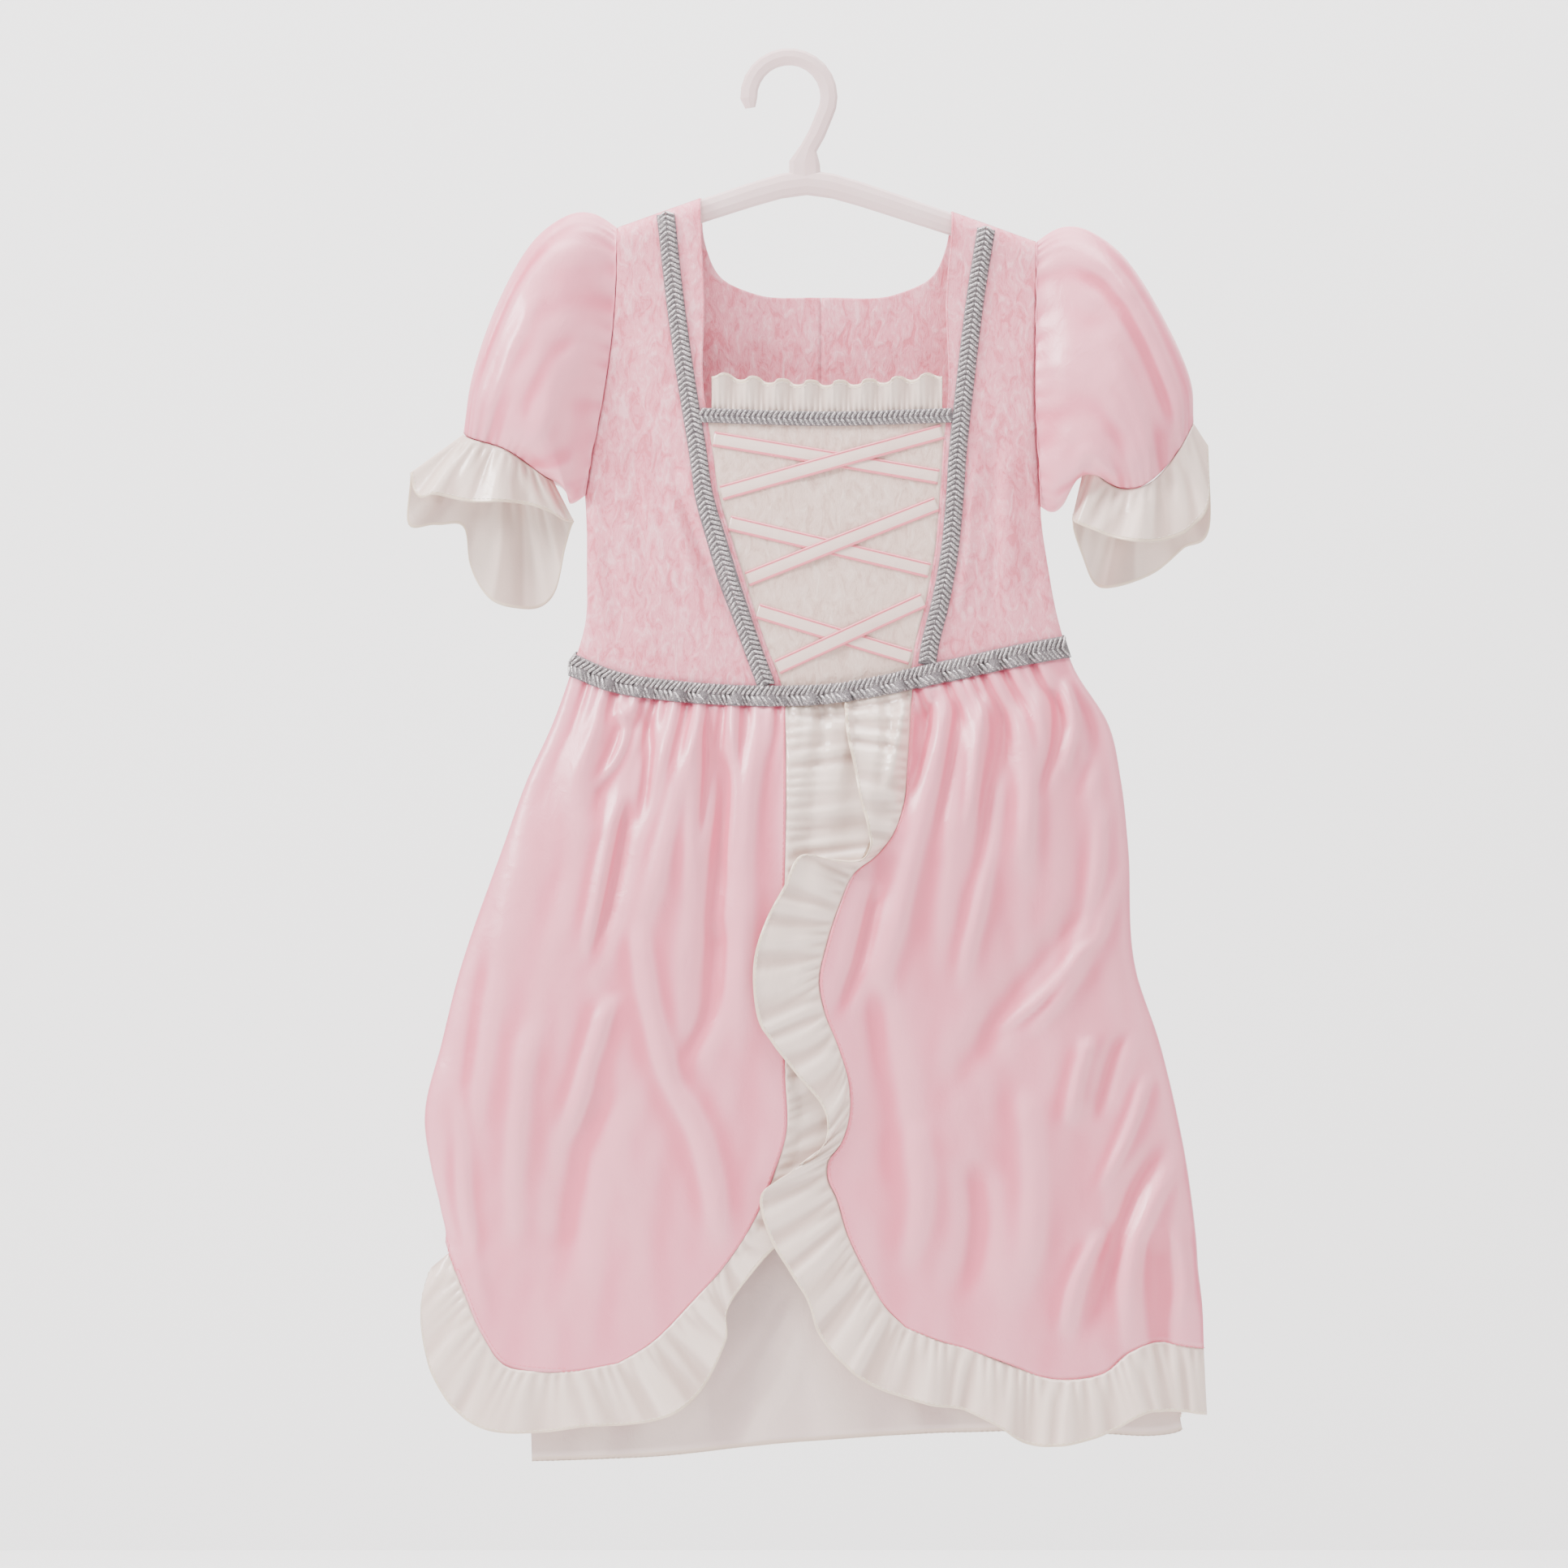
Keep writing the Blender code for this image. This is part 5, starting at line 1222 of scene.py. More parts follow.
def cloth(name, points, away, material, replaced, thick=CLOTH, ring=False, edge=None):
    """A thin sheet whose outer face goes through a grid of points; a ring closes on its first row."""
    count_u, count_v = points.shape[:2]
    side = float((mesh_normals(points) * np.asarray(away, float)).sum(-1).mean())
    rows = np.arange(count_u * count_v).reshape(count_u, count_v)
    start = rows if ring else rows[:-1]
    after = np.roll(rows, -1, axis=0) if ring else rows[1:]
    quads = np.stack([start[:, :-1], after[:, :-1], after[:, 1:], start[:, 1:]], axis=-1).reshape(-1, 4)
    if side < 0:
        quads = quads[:, ::-1]
    mesh = bpy.data.meshes.new(name)
    mesh.from_pydata((points * MM).reshape(-1, 3).tolist(), [], quads.tolist())
    heights = mesh.attributes.new("fold_height", "FLOAT", "POINT")
    heights.data.foreach_set("value", fold_heights(points, away, ring).ravel())
    distances = mesh.attributes.new("edge", "FLOAT", "POINT")
    far = np.full((count_u, count_v), 50.0) if edge is None else np.broadcast_to(edge, (count_u, count_v))
    distances.data.foreach_set("value", np.ascontiguousarray(far, dtype=np.float32).ravel())
    mesh.shade_smooth()
    mesh.materials.append(material)
    obj = bpy.data.objects.new(name, mesh)
    bpy.context.scene.collection.objects.link(obj)
    wall = obj.modifiers.new("wall", "SOLIDIFY")
    wall.thickness = thick * MM
    wall.offset = -1.0
    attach(obj, "root")
    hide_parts(replaced)
    bm = bmesh.new()
    bm.from_mesh(mesh)
    trees[replaced] = BVHTree.FromBMesh(bm)
    bm.free()
    return obj


def grid(surface, us, vs):
    u, v = np.meshgrid(us, vs, indexing="ij")
    return surface(u, v)


def crumpled(points, away, amount, size, seed, longer=1.0):
    """The grid pushed in and out by soft irregular waves, which may be longer up and down than across."""
    waves = crumple(points[..., 0], points[..., 2] / longer, size, seed)
    waves = waves * ease(np.linspace(0, 8, points.shape[1]))[None, :]
    return points + np.asarray(away, float) * (amount * waves)[..., None]


def lengths_from(points, axis, from_end):
    """How far each place of a grid is from its first or last row, along the cloth, in millimetres."""
    steps = np.linalg.norm(np.diff(points, axis=axis), axis=-1)
    along = np.cumsum(steps, axis=axis)
    along = np.concatenate([np.zeros_like(np.take(along, [0], axis=axis)), along], axis=axis)
    return np.take(along, [-1], axis=axis) - along if from_end else along


def resting_lift(face, normal, supports, near):
    """How far out a trimming lies at each place so that it rests on the highest cloth near by."""
    heights = np.zeros(face.shape[:2])
    for index in np.ndindex(*heights.shape):
        start = Vector(face[index] + normal[index] * FAR_OUT) * MM
        for tree in supports:
            found = tree.ray_cast(start, Vector(-normal[index]), 2 * FAR_OUT * MM)[3]
            if found is not None:
                heights[index] = max(heights[index], FAR_OUT - found / MM)
    highest = heights.max(axis=1)
    padded = np.pad(highest, near, mode="edge")
    highest = np.array([padded[i : i + 2 * near + 1].max() for i in range(len(highest))])
    padded = np.pad(highest, near, mode="edge")
    return np.convolve(padded, np.full(2 * near + 1, 1 / (2 * near + 1)), "valid")[:, None]


def laid_strip(surface, us, vs, away, supports, thick, near=3):
    """The points and outward directions of a trimming that lies on finished cloth."""
    u, v = np.meshgrid(us, vs, indexing="ij")
    face = surface(u, v)
    normal = outward(surface, u, v, np.asarray(away, float))
    lift = resting_lift(face, normal, [trees[name] for name in supports], near)
    return face + normal * (lift + LAID_ON + thick)[..., None], normal


def unit_capsule(length, radius, sides=4):
    """One stitch along X: a small rounded bar."""
    bm = bmesh.new()
    rings = []
    for share, wide in ((-0.5, 0.35), (-0.32, 1.0), (0.32, 1.0), (0.5, 0.35)):
        turns = np.linspace(0, 2 * math.pi, sides, endpoint=False)
        reach = radius * wide
        places = [(share * length, reach * math.cos(turn), reach * math.sin(turn)) for turn in turns]
        rings.append([bm.verts.new(place) for place in places])
    for first, second in zip(rings, rings[1:]):
        for i in range(sides):
            bm.faces.new((first[i], first[(i + 1) % sides], second[(i + 1) % sides], second[i]))
    bm.faces.new(rings[0])
    bm.faces.new(rings[-1])
    return bm


def unit_object(name, bm):
    bmesh.ops.recalc_face_normals(bm, faces=bm.faces)
    bmesh.ops.scale(bm, vec=(MM, MM, MM), verts=bm.verts)
    mesh = bpy.data.meshes.new(name)
    bm.to_mesh(mesh)
    bm.free()
    mesh.shade_smooth()
    return bpy.data.objects.new(name, mesh)


def repeat_tree():
    """Geometry Nodes that set a unit on every point, turned by the point's own along and out directions."""
    tree = bpy.data.node_groups.new("set_units_along", "GeometryNodeTree")
    tree.interface.new_socket("Places", in_out="INPUT", socket_type="NodeSocketGeometry")
    tree.interface.new_socket("Unit", in_out="INPUT", socket_type="NodeSocketObject")
    tree.interface.new_socket("Finish", in_out="INPUT", socket_type="NodeSocketMaterial")
    tree.interface.new_socket("Size spread", in_out="INPUT", socket_type="NodeSocketFloat")
    tree.interface.new_socket("Seed", in_out="INPUT", socket_type="NodeSocketInt")
    tree.interface.new_socket("Pieces", in_out="OUTPUT", socket_type="NodeSocketGeometry")

    def add(kind, settings=None, links=None):
        node = tree.nodes.new(kind)
        for key, value in (settings or {}).items():
            setattr(node, key, value)
        for key, value in (links or {}).items():
            if isinstance(value, bpy.types.NodeSocket):
                tree.links.new(value, node.inputs[key])
            else:
                node.inputs[key].default_value = value
        return node

    given = add("NodeGroupInput")
    along = add("GeometryNodeInputNamedAttribute", {"data_type": "FLOAT_VECTOR"}, {"Name": "along"})
    out = add("GeometryNodeInputNamedAttribute", {"data_type": "FLOAT_VECTOR"}, {"Name": "out"})
    facing = add("FunctionNodeAlignRotationToVector", {"axis": "Z"}, {"Vector": out.outputs["Attribute"]})
    turned = add(
        "FunctionNodeAlignRotationToVector",
        {"axis": "X", "pivot_axis": "Z"},
        {"Rotation": facing.outputs["Rotation"], "Vector": along.outputs["Attribute"]},
    )
    unit = add("GeometryNodeObjectInfo", None, {"Object": given.outputs["Unit"]})
    least = add("ShaderNodeMath", {"operation": "SUBTRACT"}, {0: 1.0, 1: given.outputs["Size spread"]})
    most = add("ShaderNodeMath", {"operation": "ADD"}, {0: 1.0, 1: given.outputs["Size spread"]})
    size = add(
        "FunctionNodeRandomValue",
        {"data_type": "FLOAT"},
        {2: least.outputs[0], 3: most.outputs[0], "Seed": given.outputs["Seed"]},
    )
    placed = add(
        "GeometryNodeInstanceOnPoints",
        None,
        {
            "Points": given.outputs["Places"],
            "Instance": unit.outputs["Geometry"],
            "Rotation": turned.outputs["Rotation"],
            "Scale": size.outputs[1],
        },
    )
    real = add("GeometryNodeRealizeInstances", None, {"Geometry": placed.outputs["Instances"]})
    painted = {"Geometry": real.outputs["Geometry"], "Material": given.outputs["Finish"]}
    finished = add("GeometryNodeSetMaterial", None, painted)
    given_out = add("NodeGroupOutput")
    tree.links.new(finished.outputs["Geometry"], given_out.inputs["Pieces"])
    return tree


REPEAT = repeat_tree()
STITCH = unit_object("stitch_unit", unit_capsule(2.0, 0.2))


def set_along(name, unit, places, alongs, outs, material, slot, spread=0.06, seed=1):
    """Units such as stitches, one at each place, joined into one plain mesh."""
    mesh = bpy.data.meshes.new(name)
    mesh.from_pydata((np.asarray(places) * MM).tolist(), [], [])
    for key, vectors in (("along", alongs), ("out", outs)):
        data = mesh.attributes.new(key, "FLOAT_VECTOR", "POINT")
        data.data.foreach_set("vector", np.ascontiguousarray(vectors, dtype=np.float32).ravel())
    obj = bpy.data.objects.new(name, mesh)
    bpy.context.scene.collection.objects.link(obj)
    modifier = obj.modifiers.new("units", "NODES")
    modifier.node_group = REPEAT
    given = {item.name: item.identifier for item in REPEAT.interface.items_tree if item.in_out == "INPUT"}
    modifier[given["Unit"]] = unit
    modifier[given["Finish"]] = material
    modifier[given["Size spread"]] = spread
    modifier[given["Seed"]] = seed
    shape = bpy.data.meshes.new_from_object(obj.evaluated_get(bpy.context.evaluated_depsgraph_get()))
    obj.modifiers.clear()
    obj.data = shape
    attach(obj, "root")
    return obj


def spaced(line_points, outs, spacing):
    """Places every so many millimetres along a chain of points, with directions along it and out of it."""
    steps = np.concatenate([[0], np.cumsum(np.linalg.norm(np.diff(line_points, axis=0), axis=1))])
    at = np.arange(spacing / 2, steps[-1], spacing)

    def between(rows, where):
        return np.stack([np.interp(where, steps, rows[:, k]) for k in range(3)], axis=-1)

    along = between(line_points, at + HALF_STEP) - between(line_points, at - HALF_STEP)
    return between(line_points, at), along, between(outs, at)


def stitches(name, lines, material, slot, spacing=3.1, raised=0.12):
    """Rows of running stitches along chains of points, each given with the directions out of the cloth."""
    found = [spaced(points + outs * raised, outs, spacing) for points, outs in lines]
    places, alongs, outs = (np.concatenate(parts) for parts in zip(*found))
    return set_along(name, STITCH, places, alongs, outs, material, slot)


def facing_normals(points, away):
    """Unit directions out of a grid, on the side that `away` points to."""
    normal = mesh_normals(points)
    sign = np.where((normal * np.asarray(away, float)).sum(-1, keepdims=True) >= 0, 1.0, -1.0)
    return normal * sign


def inside_line(points, away, axis, distance, from_end):
    """The chain of places a set distance in from one edge of a grid, with the directions out of it."""
    spans = lengths_from(points, axis, from_end)
    normal = facing_normals(points, away)
    if axis == 1:
        points, normal, spans = points.swapaxes(0, 1), normal.swapaxes(0, 1), spans.swapaxes(0, 1)
    nearest = np.abs(spans - distance).argmin(axis=0)
    columns = np.arange(points.shape[1])
    return points[nearest, columns], normal[nearest, columns]


FRONT_FOLDS = FRONT_FOLDS + tuple(fold._replace(height=2.0 * fold.height) for fold in FINE_FRONT)
UNDER_FRONT_FOLDS = UNDER_FRONT_FOLDS + FINE_UNDER


def hem_stitches(name, points, away, inside, slot):
    """Ivory running stitches along the last row of a cloth's grid."""
    return stitches(name, [inside_line(points, away, 1, inside, True)], IVORY_THREAD, slot)


def make_bodice():
    for tag, braid, armhole, sign in (
        ("left", LEFT_BRAID, LEFT_ARMHOLE, 1.0),
        ("right", RIGHT_BRAID, RIGHT_ARMHOLE, -1.0),
    ):
        inner = neck_edge(braid, sign)
        outer = armhole_points(armhole)
        top_drop = float(shoulder_drop(inner[-1][0])) + TINY
        inner = cut_at(inner, top_drop, float(waist_drop(inner[0][0])))
        side_x = SIDE_LEFT if sign > 0 else SIDE_RIGHT
        surface = patch(
            body,
            on_tube(shoulder_edge(outer[-1][0], inner[0][0])),
            seamed(waist_edge(side_x, inner[-1][0], FRONT, 0.0), FRONT, start=-sign),
            two_part(
                on_tube(path(outer[::-1])),
                side_seam(-sign, FRONT, outer[0][1], float(waist_drop(side_x))),
                ARMHOLE_SHARE,
            ),
            on_tube(path(inner)),
        )
        points = grid(surface, even(70), rows_to_shoulder(120, BODICE_TALL))
        points = crumpled(points, FRONT_OUT, 0.5, 17.0, 3.0)
        edge = lengths_from(points, 0, True)
        node = f"bodice_front_{tag}"
        front = cloth(f"velvet_front_{tag}", points, FRONT_OUT, PINK_VELVET, node, edge=edge)
        line_points = inside_line(points, FRONT_OUT, 0, 0.9, True)
        seams = stitches(f"velvet_front_stitches_{tag}", [line_points], PINK_THREAD, "pink_velvet", 2.6)
        declare_sheet(front, seams, flat=(0.085, 0.262), held="hung", rests_on=["hanger"], area=0.0165)

        neck_x = x_at(neck_edge(braid, sign), 90.0)
        neckline = path(
            (
                (neck_x, float(shoulder_drop(neck_x)) + TINY),
                (neck_x + sign * 2, BACK_NECK_DROP - 30),
                (neck_x + sign * 10, BACK_NECK_DROP - 12),
                (neck_x + sign * 30, BACK_NECK_DROP - 2),
                (BACK_MIDDLE, BACK_NECK_DROP),
            )
        )
        centre = line((BACK_MIDDLE, BACK_NECK_DROP), (BACK_MIDDLE, float(waist_drop(BACK_MIDDLE, BACK))))
        surface = patch(
            body,
            on_tube(shoulder_edge(outer[-1][0], neck_x), BACK),
            seamed(waist_edge(side_x, BACK_MIDDLE, BACK, 0.0), BACK, start=-sign),
            two_part(
                on_tube(path(outer[::-1]), BACK),
                side_seam(-sign, BACK, outer[0][1], float(waist_drop(side_x, BACK))),
                ARMHOLE_SHARE,
            ),
            two_part(on_tube(neckline, BACK), on_tube(centre, BACK), 0.5),
        )
        points = grid(surface, even(60), rows_to_shoulder(90, BODICE_TALL))
        points = crumpled(points, BACK_OUT, 0.5, 17.0, 5.0)
        back = cloth(f"velvet_back_{tag}", points, BACK_OUT, PINK_VELVET, f"bodice_back_{tag}")
        line_points = inside_line(points, BACK_OUT, 0, 4.0, True)
        seams = stitches(f"velvet_back_stitches_{tag}", [line_points], PINK_THREAD, "pink_velvet", 2.8)
        declare_sheet(back, seams, flat=(0.14, 0.262), held="hung", rests_on=["hanger"], area=0.026)

    sides = []
    for braid, sign in ((LEFT_BRAID, 1.0), (RIGHT_BRAID, -1.0)):
        rows = cut_at(neck_edge(braid, sign), top=NECKLINE_DROP)
        rows = cut_at(rows, NECKLINE_DROP, float(waist_drop(rows[-1][0])))
        sides.append(rows)
    surface = patch(
        body,
        on_tube(line(sides[0][0], sides[1][0])),
        on_tube(waist_edge(sides[0][-1][0], sides[1][-1][0], FRONT, 0.0)),
        on_tube(path(sides[0])),
        on_tube(path(sides[1])),
    )
    points = crumpled(grid(surface, even(70), even(70)), FRONT_OUT, 0.35, 22.0, 8.0)
    node = "bodice_front_centre"
    centre = cloth("velvet_front_centre", points, FRONT_OUT, IVORY_VELVET, node)
    declare_sheet(centre, flat=(0.142, 0.155), held="hung", rests_on=list(VELVET_SIDES), area=0.0172)


def make_neck_ruffle():
    left_x = x_at(neck_edge(LEFT_BRAID, 1.0), NECKLINE_DROP) + 2.6
    right_x = x_at(neck_edge(RIGHT_BRAID, -1.0), NECKLINE_DROP) - 2.6
    waves = 8.0

    def surface(u, v):
        rise = 1 - v
        turn = 2 * math.pi * waves * u
        x = left_x + (right_x - left_x) * u + 0.8 * rise * np.sin(2 * turn) * np.sin(math.pi * u)
        dip = 5.0 * np.sin(math.pi * u) + 1.5 * np.cos(turn)
        drop = NECKLINE_DROP - rise * (NECK_RUFFLE_TALL - dip)
        points = body(angle_at(x, drop), drop)
        points[..., 1] -= rise * (2.2 + 2.4 * np.sin(turn)) * ease(rise * 3)
        small = np.sin(2 * math.pi * 41 * u + 2.0 * np.sin(9 * u)) * np.exp(-rise * 2.5) * ease(rise * 8)
        points[..., 1] -= 0.7 * small
        return points

    points = grid(surface, even(240), even(18))
    edge = lengths_from(points, 1, False)
    name = "gathered_neck_ruffle"
    ruffle = cloth(name, points, FRONT_OUT, IVORY_SATIN, "neck_ruffle", edge=edge)
    free_edge = inside_line(points, FRONT_OUT, 1, RUFFLE_HEM, False)
    hem = stitches("neck_ruffle_hem_stitches", [free_edge], IVORY_THREAD, "ivory_satin")
    declare_sheet(ruffle, hem, flat=(0.15, 0.024), held="gathered", rests_on=["velvet_front_centre"])


def with_folds(surface, folds):
    """A sleeve with its creases: ridges and troughs that run down its length."""

    def at(u, v):
        points = surface(u, v)
        height = np.zeros(np.shape(u))
        for fold in folds:
            share = (v - fold.top) / (fold.low - fold.top)
            turn = fold.top_turn + (fold.low_turn - fold.top_turn) * np.clip(share, 0, 1)
            strength = ease(share / 0.25) * ease((1 - share) / 0.25)
            away = (u - turn + 0.5) % 1.0 - 0.5
            height = height + fold.height * strength * np.exp(-((away / fold.width) ** 2))
        pleats = 0.55 * np.sin(2 * math.pi * 34 * u + 3 * np.sin(2 * math.pi * 5 * u))
        height = height + pleats * (np.exp(-v / 0.10) + np.exp(-(1 - v) / 0.10)) * ease(v / 0.03)
        facing = np.sign(points[..., 1:2]) * ease(np.abs(points[..., 1:2]) / 8.0)
        return points + facing * np.array((0.0, 1.0, 0.0)) * height[..., None]

    return at


def make_sleeves():
    for tag, armhole, rings, hems, folds, sign in (
        ("left", LEFT_ARMHOLE, LEFT_SLEEVE, LEFT_CUFF, LEFT_SLEEVE_FOLDS, -1.0),
        ("right", RIGHT_ARMHOLE, RIGHT_SLEEVE, RIGHT_CUFF, RIGHT_SLEEVE_FOLDS, 1.0),
    ):
        puff = sleeve_surface(armhole, rings, sign)
        us = np.linspace(0, 1, 180, endpoint=False)
        points = grid(with_folds(puff, folds), us, even(70))
        soft = 0.8 * crumple(points[..., 0], points[..., 2], 16.0, 11.0 + sign)
        points[..., 1] += np.sign(points[..., 1]) * soft * ease(np.abs(points[..., 1]) / 8.0)
        away = points - points.mean(axis=0, keepdims=True)
        name = f"puffed_sleeve_{tag}"
        sleeve = cloth(name, points, away, PINK_SATIN, f"sleeve_{tag}", ring=True)
        rests_on = [f"velvet_front_{tag}"]
        declare_sheet(sleeve, flat=(0.28, 0.13), held="gathered", rests_on=rests_on, area=0.032)

        hem_surface = cuff_surface(puff, armhole[0][0], hems, sign)

        def ruffled(u, v):
            made = hem_surface(u, v)
            small = np.sin(2 * math.pi * 30 * u + 2 * np.sin(2 * math.pi * 3 * u))
            small = small * np.exp(-2.4 * v) * ease(v * 8)
            waved = np.sin(2 * math.pi * 13 * u + 2.0 * v) * ease(v * 2)
            facing = np.sign(made[..., 1]) * ease(np.abs(made[..., 1]) / 5.0)
            made[..., 1] += facing * (0.7 * small + 0.9 * waved)
            return made

        points = grid(ruffled, us, even(30))
        away = points - points.mean(axis=0, keepdims=True)
        edge = lengths_from(points, 1, True)
        name, node = f"ruffled_cuff_{tag}", f"sleeve_cuff_{tag}"
        cuff = cloth(name, points, away, IVORY_SATIN, node, ring=True, edge=edge)
        hem = hem_stitches(f"cuff_hem_stitches_{tag}", points, away, RUFFLE_HEM, "ivory_satin")
        declare_sheet(cuff, hem, flat=(0.27, 0.038), held="gathered", rests_on=[sleeve.name])


def make_skirts():
    for tag, opening_edge, hem_edge, sign, flat, area in (
        ("left", LEFT_OPENING, LEFT_HEM, -1.0, (0.30, 0.385), 0.068),
        ("right", RIGHT_OPENING, RIGHT_HEM, 1.0, (0.30, 0.385), 0.066),
    ):
        opening = opening_points(opening_edge)
        side_x = SIDE_LEFT if sign < 0 else SIDE_RIGHT
        side_drop = hem_edge[0][1] if sign < 0 else hem_edge[-1][1]
        inner = on_tube(path(opening))
        outer = side_seam(sign, FRONT, float(waist_drop(side_x)), side_drop)
        if sign < 0:
            edges = (waist_edge(side_x, opening[0][0], FRONT, 0.0), path(hem_edge), outer, inner)
            turned = [seamed(edge, FRONT, start=-1.0) for edge in edges[:2]]
        else:
            edges = (waist_edge(opening[0][0], side_x, FRONT, 0.0), path(hem_edge), inner, outer)
            turned = [seamed(edge, FRONT, end=1.0) for edge in edges[:2]]
        surface = patch(body, *turned, *edges[2:])
        points = grid(surface, even(140), skirt_rows(180))
        points = crumpled(points, FRONT_OUT, 2.2, 34.0, 21.0 + sign, 3.4)
        points = crumpled(points, FRONT_OUT, 0.5, 13.0, 31.0 + sign, 2.0)
        free = lengths_from(points, 0, sign < 0)
        name = f"overskirt_{tag}"
        skirt = cloth(name, points, FRONT_OUT, PINK_SATIN, f"skirt_{tag}", edge=free)
        opening_line = inside_line(points, FRONT_OUT, 0, SKIRT_SEAM, sign < 0)
        lines = [opening_line, inside_line(points, FRONT_OUT, 1, SKIRT_SEAM, True)]
        seams = stitches(f"overskirt_stitches_{tag}", lines, PINK_THREAD, "pink_satin", 2.8)
        declare_sheet(skirt, seams, flat=flat, held="gathered", rests_on=[f"velvet_front_{tag}"], area=area)

    surface = patch(
        body,
        seamed(waist_edge(SIDE_LEFT, SIDE_RIGHT, BACK, 0.0), BACK, start=-1.0, end=1.0),
        seamed(path(BACK_HEM), BACK, start=-1.0, end=1.0),
        side_seam(-1.0, BACK, float(waist_drop(SIDE_LEFT, BACK)), BACK_HEM[0][1]),
        side_seam(1.0, BACK, float(waist_drop(SIDE_RIGHT, BACK)), BACK_HEM[-1][1]),
    )
    points = grid(surface, even(170), skirt_rows(120))
    points = crumpled(points, BACK_OUT, 2.4, 32.0, 41.0, 3.4)
    skirt = cloth("overskirt_back", points, BACK_OUT, PINK_SATIN, "skirt_back")
    lines = [inside_line(points, BACK_OUT, 1, SKIRT_SEAM, True)]
    seams = stitches("overskirt_stitches_back", lines, PINK_THREAD, "pink_satin", 2.8)
    declare_sheet(
        skirt,
        seams,
        flat=(0.56, 0.385),
        held="gathered",
        rests_on=["velvet_back_left", "velvet_back_right"],
        area=0.155,
    )


def make_underskirt():
    quarter = math.pi / 2 - SIDE_GAP
    for tag, side, count, rows, away in (
        ("front", FRONT, 120, 110, FRONT_OUT),
        ("back", BACK, 80, 60, BACK_OUT),
    ):

        def across(edge, side=side):
            def at(share):
                share = np.asarray(share, float)
                turn = (2 * share - 1) * quarter
                return turn if side > 0 else math.pi - turn, edge(share)[1]

            return at

        top, hem = across(waist_edge(-110, 148, side, 1.0)), across(path(UNDERSKIRT_HEM))
        surface = patch(
            underskirt,
            top,
            hem,
            side_seam(-1.0, side, float(top(0.0)[1]), UNDERSKIRT_HEM[0][1]),
            side_seam(1.0, side, float(top(1.0)[1]), UNDERSKIRT_HEM[-1][1]),
        )
        points = crumpled(grid(surface, even(count), skirt_rows(rows)), away, 0.7, 26.0, 51.0 + side)
        edge = lengths_from(points, 1, True)
        name, node, slot = f"pale_underskirt_{tag}", f"underskirt_{tag}", "underskirt_cloth"
        skirt = cloth(name, points, away, UNDERSKIRT_CLOTH, node, edge=edge)
        seams = hem_stitches(f"underskirt_hem_stitches_{tag}", points, away, UNDERSKIRT_HEM_WIDE, slot)
        declare_sheet(skirt, seams, flat=(0.375, 0.43), held="hung", rests_on=list(VELVET_SIDES), area=0.138)


def make_ruffle(name, points, away, replaced, flat, hung_on):
    edge = lengths_from(points, 1, True)
    ruffle = cloth(name, points, away, IVORY_SATIN, replaced, edge=edge)
    hem = hem_stitches(f"{name}_hem_stitches", points, away, RUFFLE_HEM, "ivory_satin")
    declare_sheet(ruffle, hem, flat=flat, held="gathered", rests_on=[hung_on])


def make_ruffles():
    rows = skirt_rows(330)
    left_hem = seamed(path(LEFT_HEM), FRONT, start=-1.0)
    right_hem = seamed(path(RIGHT_HEM), FRONT, end=1.0)
    left = seam_corners((on_tube(path(opening_points(LEFT_OPENING))), rows), (left_hem, even(260)[::-1]))
    right = seam_corners((on_tube(path(opening_points(RIGHT_OPENING))), rows), (right_hem, even(300)))
    points = ruffle_rows(left[:-12], LEFT_RUFFLE, 1.0, 0.50, 0.2, -2.6, 24, 0.8)
    make_ruffle("left_skirt_ruffle", points, FRONT_OUT, "skirt_ruffle_left", (0.75, 0.026), "overskirt_left")
    points = ruffle_rows(right, RIGHT_RUFFLE, -1.0, 0.02, 0.8, 0.0, 24, 1.0)
    supports = [trees[name] for name in ("skirt_left", "skirt_right", "skirt_ruffle_left")]
    points = clear_of(points, supports, CLOTH + 0.2)
    node, hung_on = "skirt_ruffle_right", "overskirt_right"
    make_ruffle("right_skirt_ruffle", points, FRONT_OUT, node, (0.85, 0.034), hung_on)

    corners = seam_corners((seamed(path(BACK_HEM), BACK, start=-1.0, end=1.0), even(420)))[12:-12]
    seam = beside(corners, -RUFFLE_GAP)
    lengths = np.concatenate([[0], np.cumsum(np.linalg.norm(np.diff(seam, axis=0), axis=1))])[:, None]
    share = lengths / lengths[-1]
    turn = 2 * math.pi * 12.0 * share
    fade = np.sin(math.pi * share) ** 0.5
    v = even(18)[None, :]
    x = seam[:, :1] + v * (2.0 * np.sin(2 * turn) * fade)
    drop = seam[:, 1:] + RUFFLE_WIDTH * v
    points = body(angle_at(x, drop, BACK), drop)
    small = np.sin(2 * math.pi * (lengths + 2 * np.sin(lengths / 11)) / 6.4) * np.exp(-3 * v) * ease(v * 10)
    points[..., 1] += v * fade * (3.0 + 3.0 * np.sin(turn)) + 0.7 * small
    make_ruffle("back_skirt_ruffle", points, BACK_OUT, "skirt_ruffle_back", (0.5, 0.04), "overskirt_back")


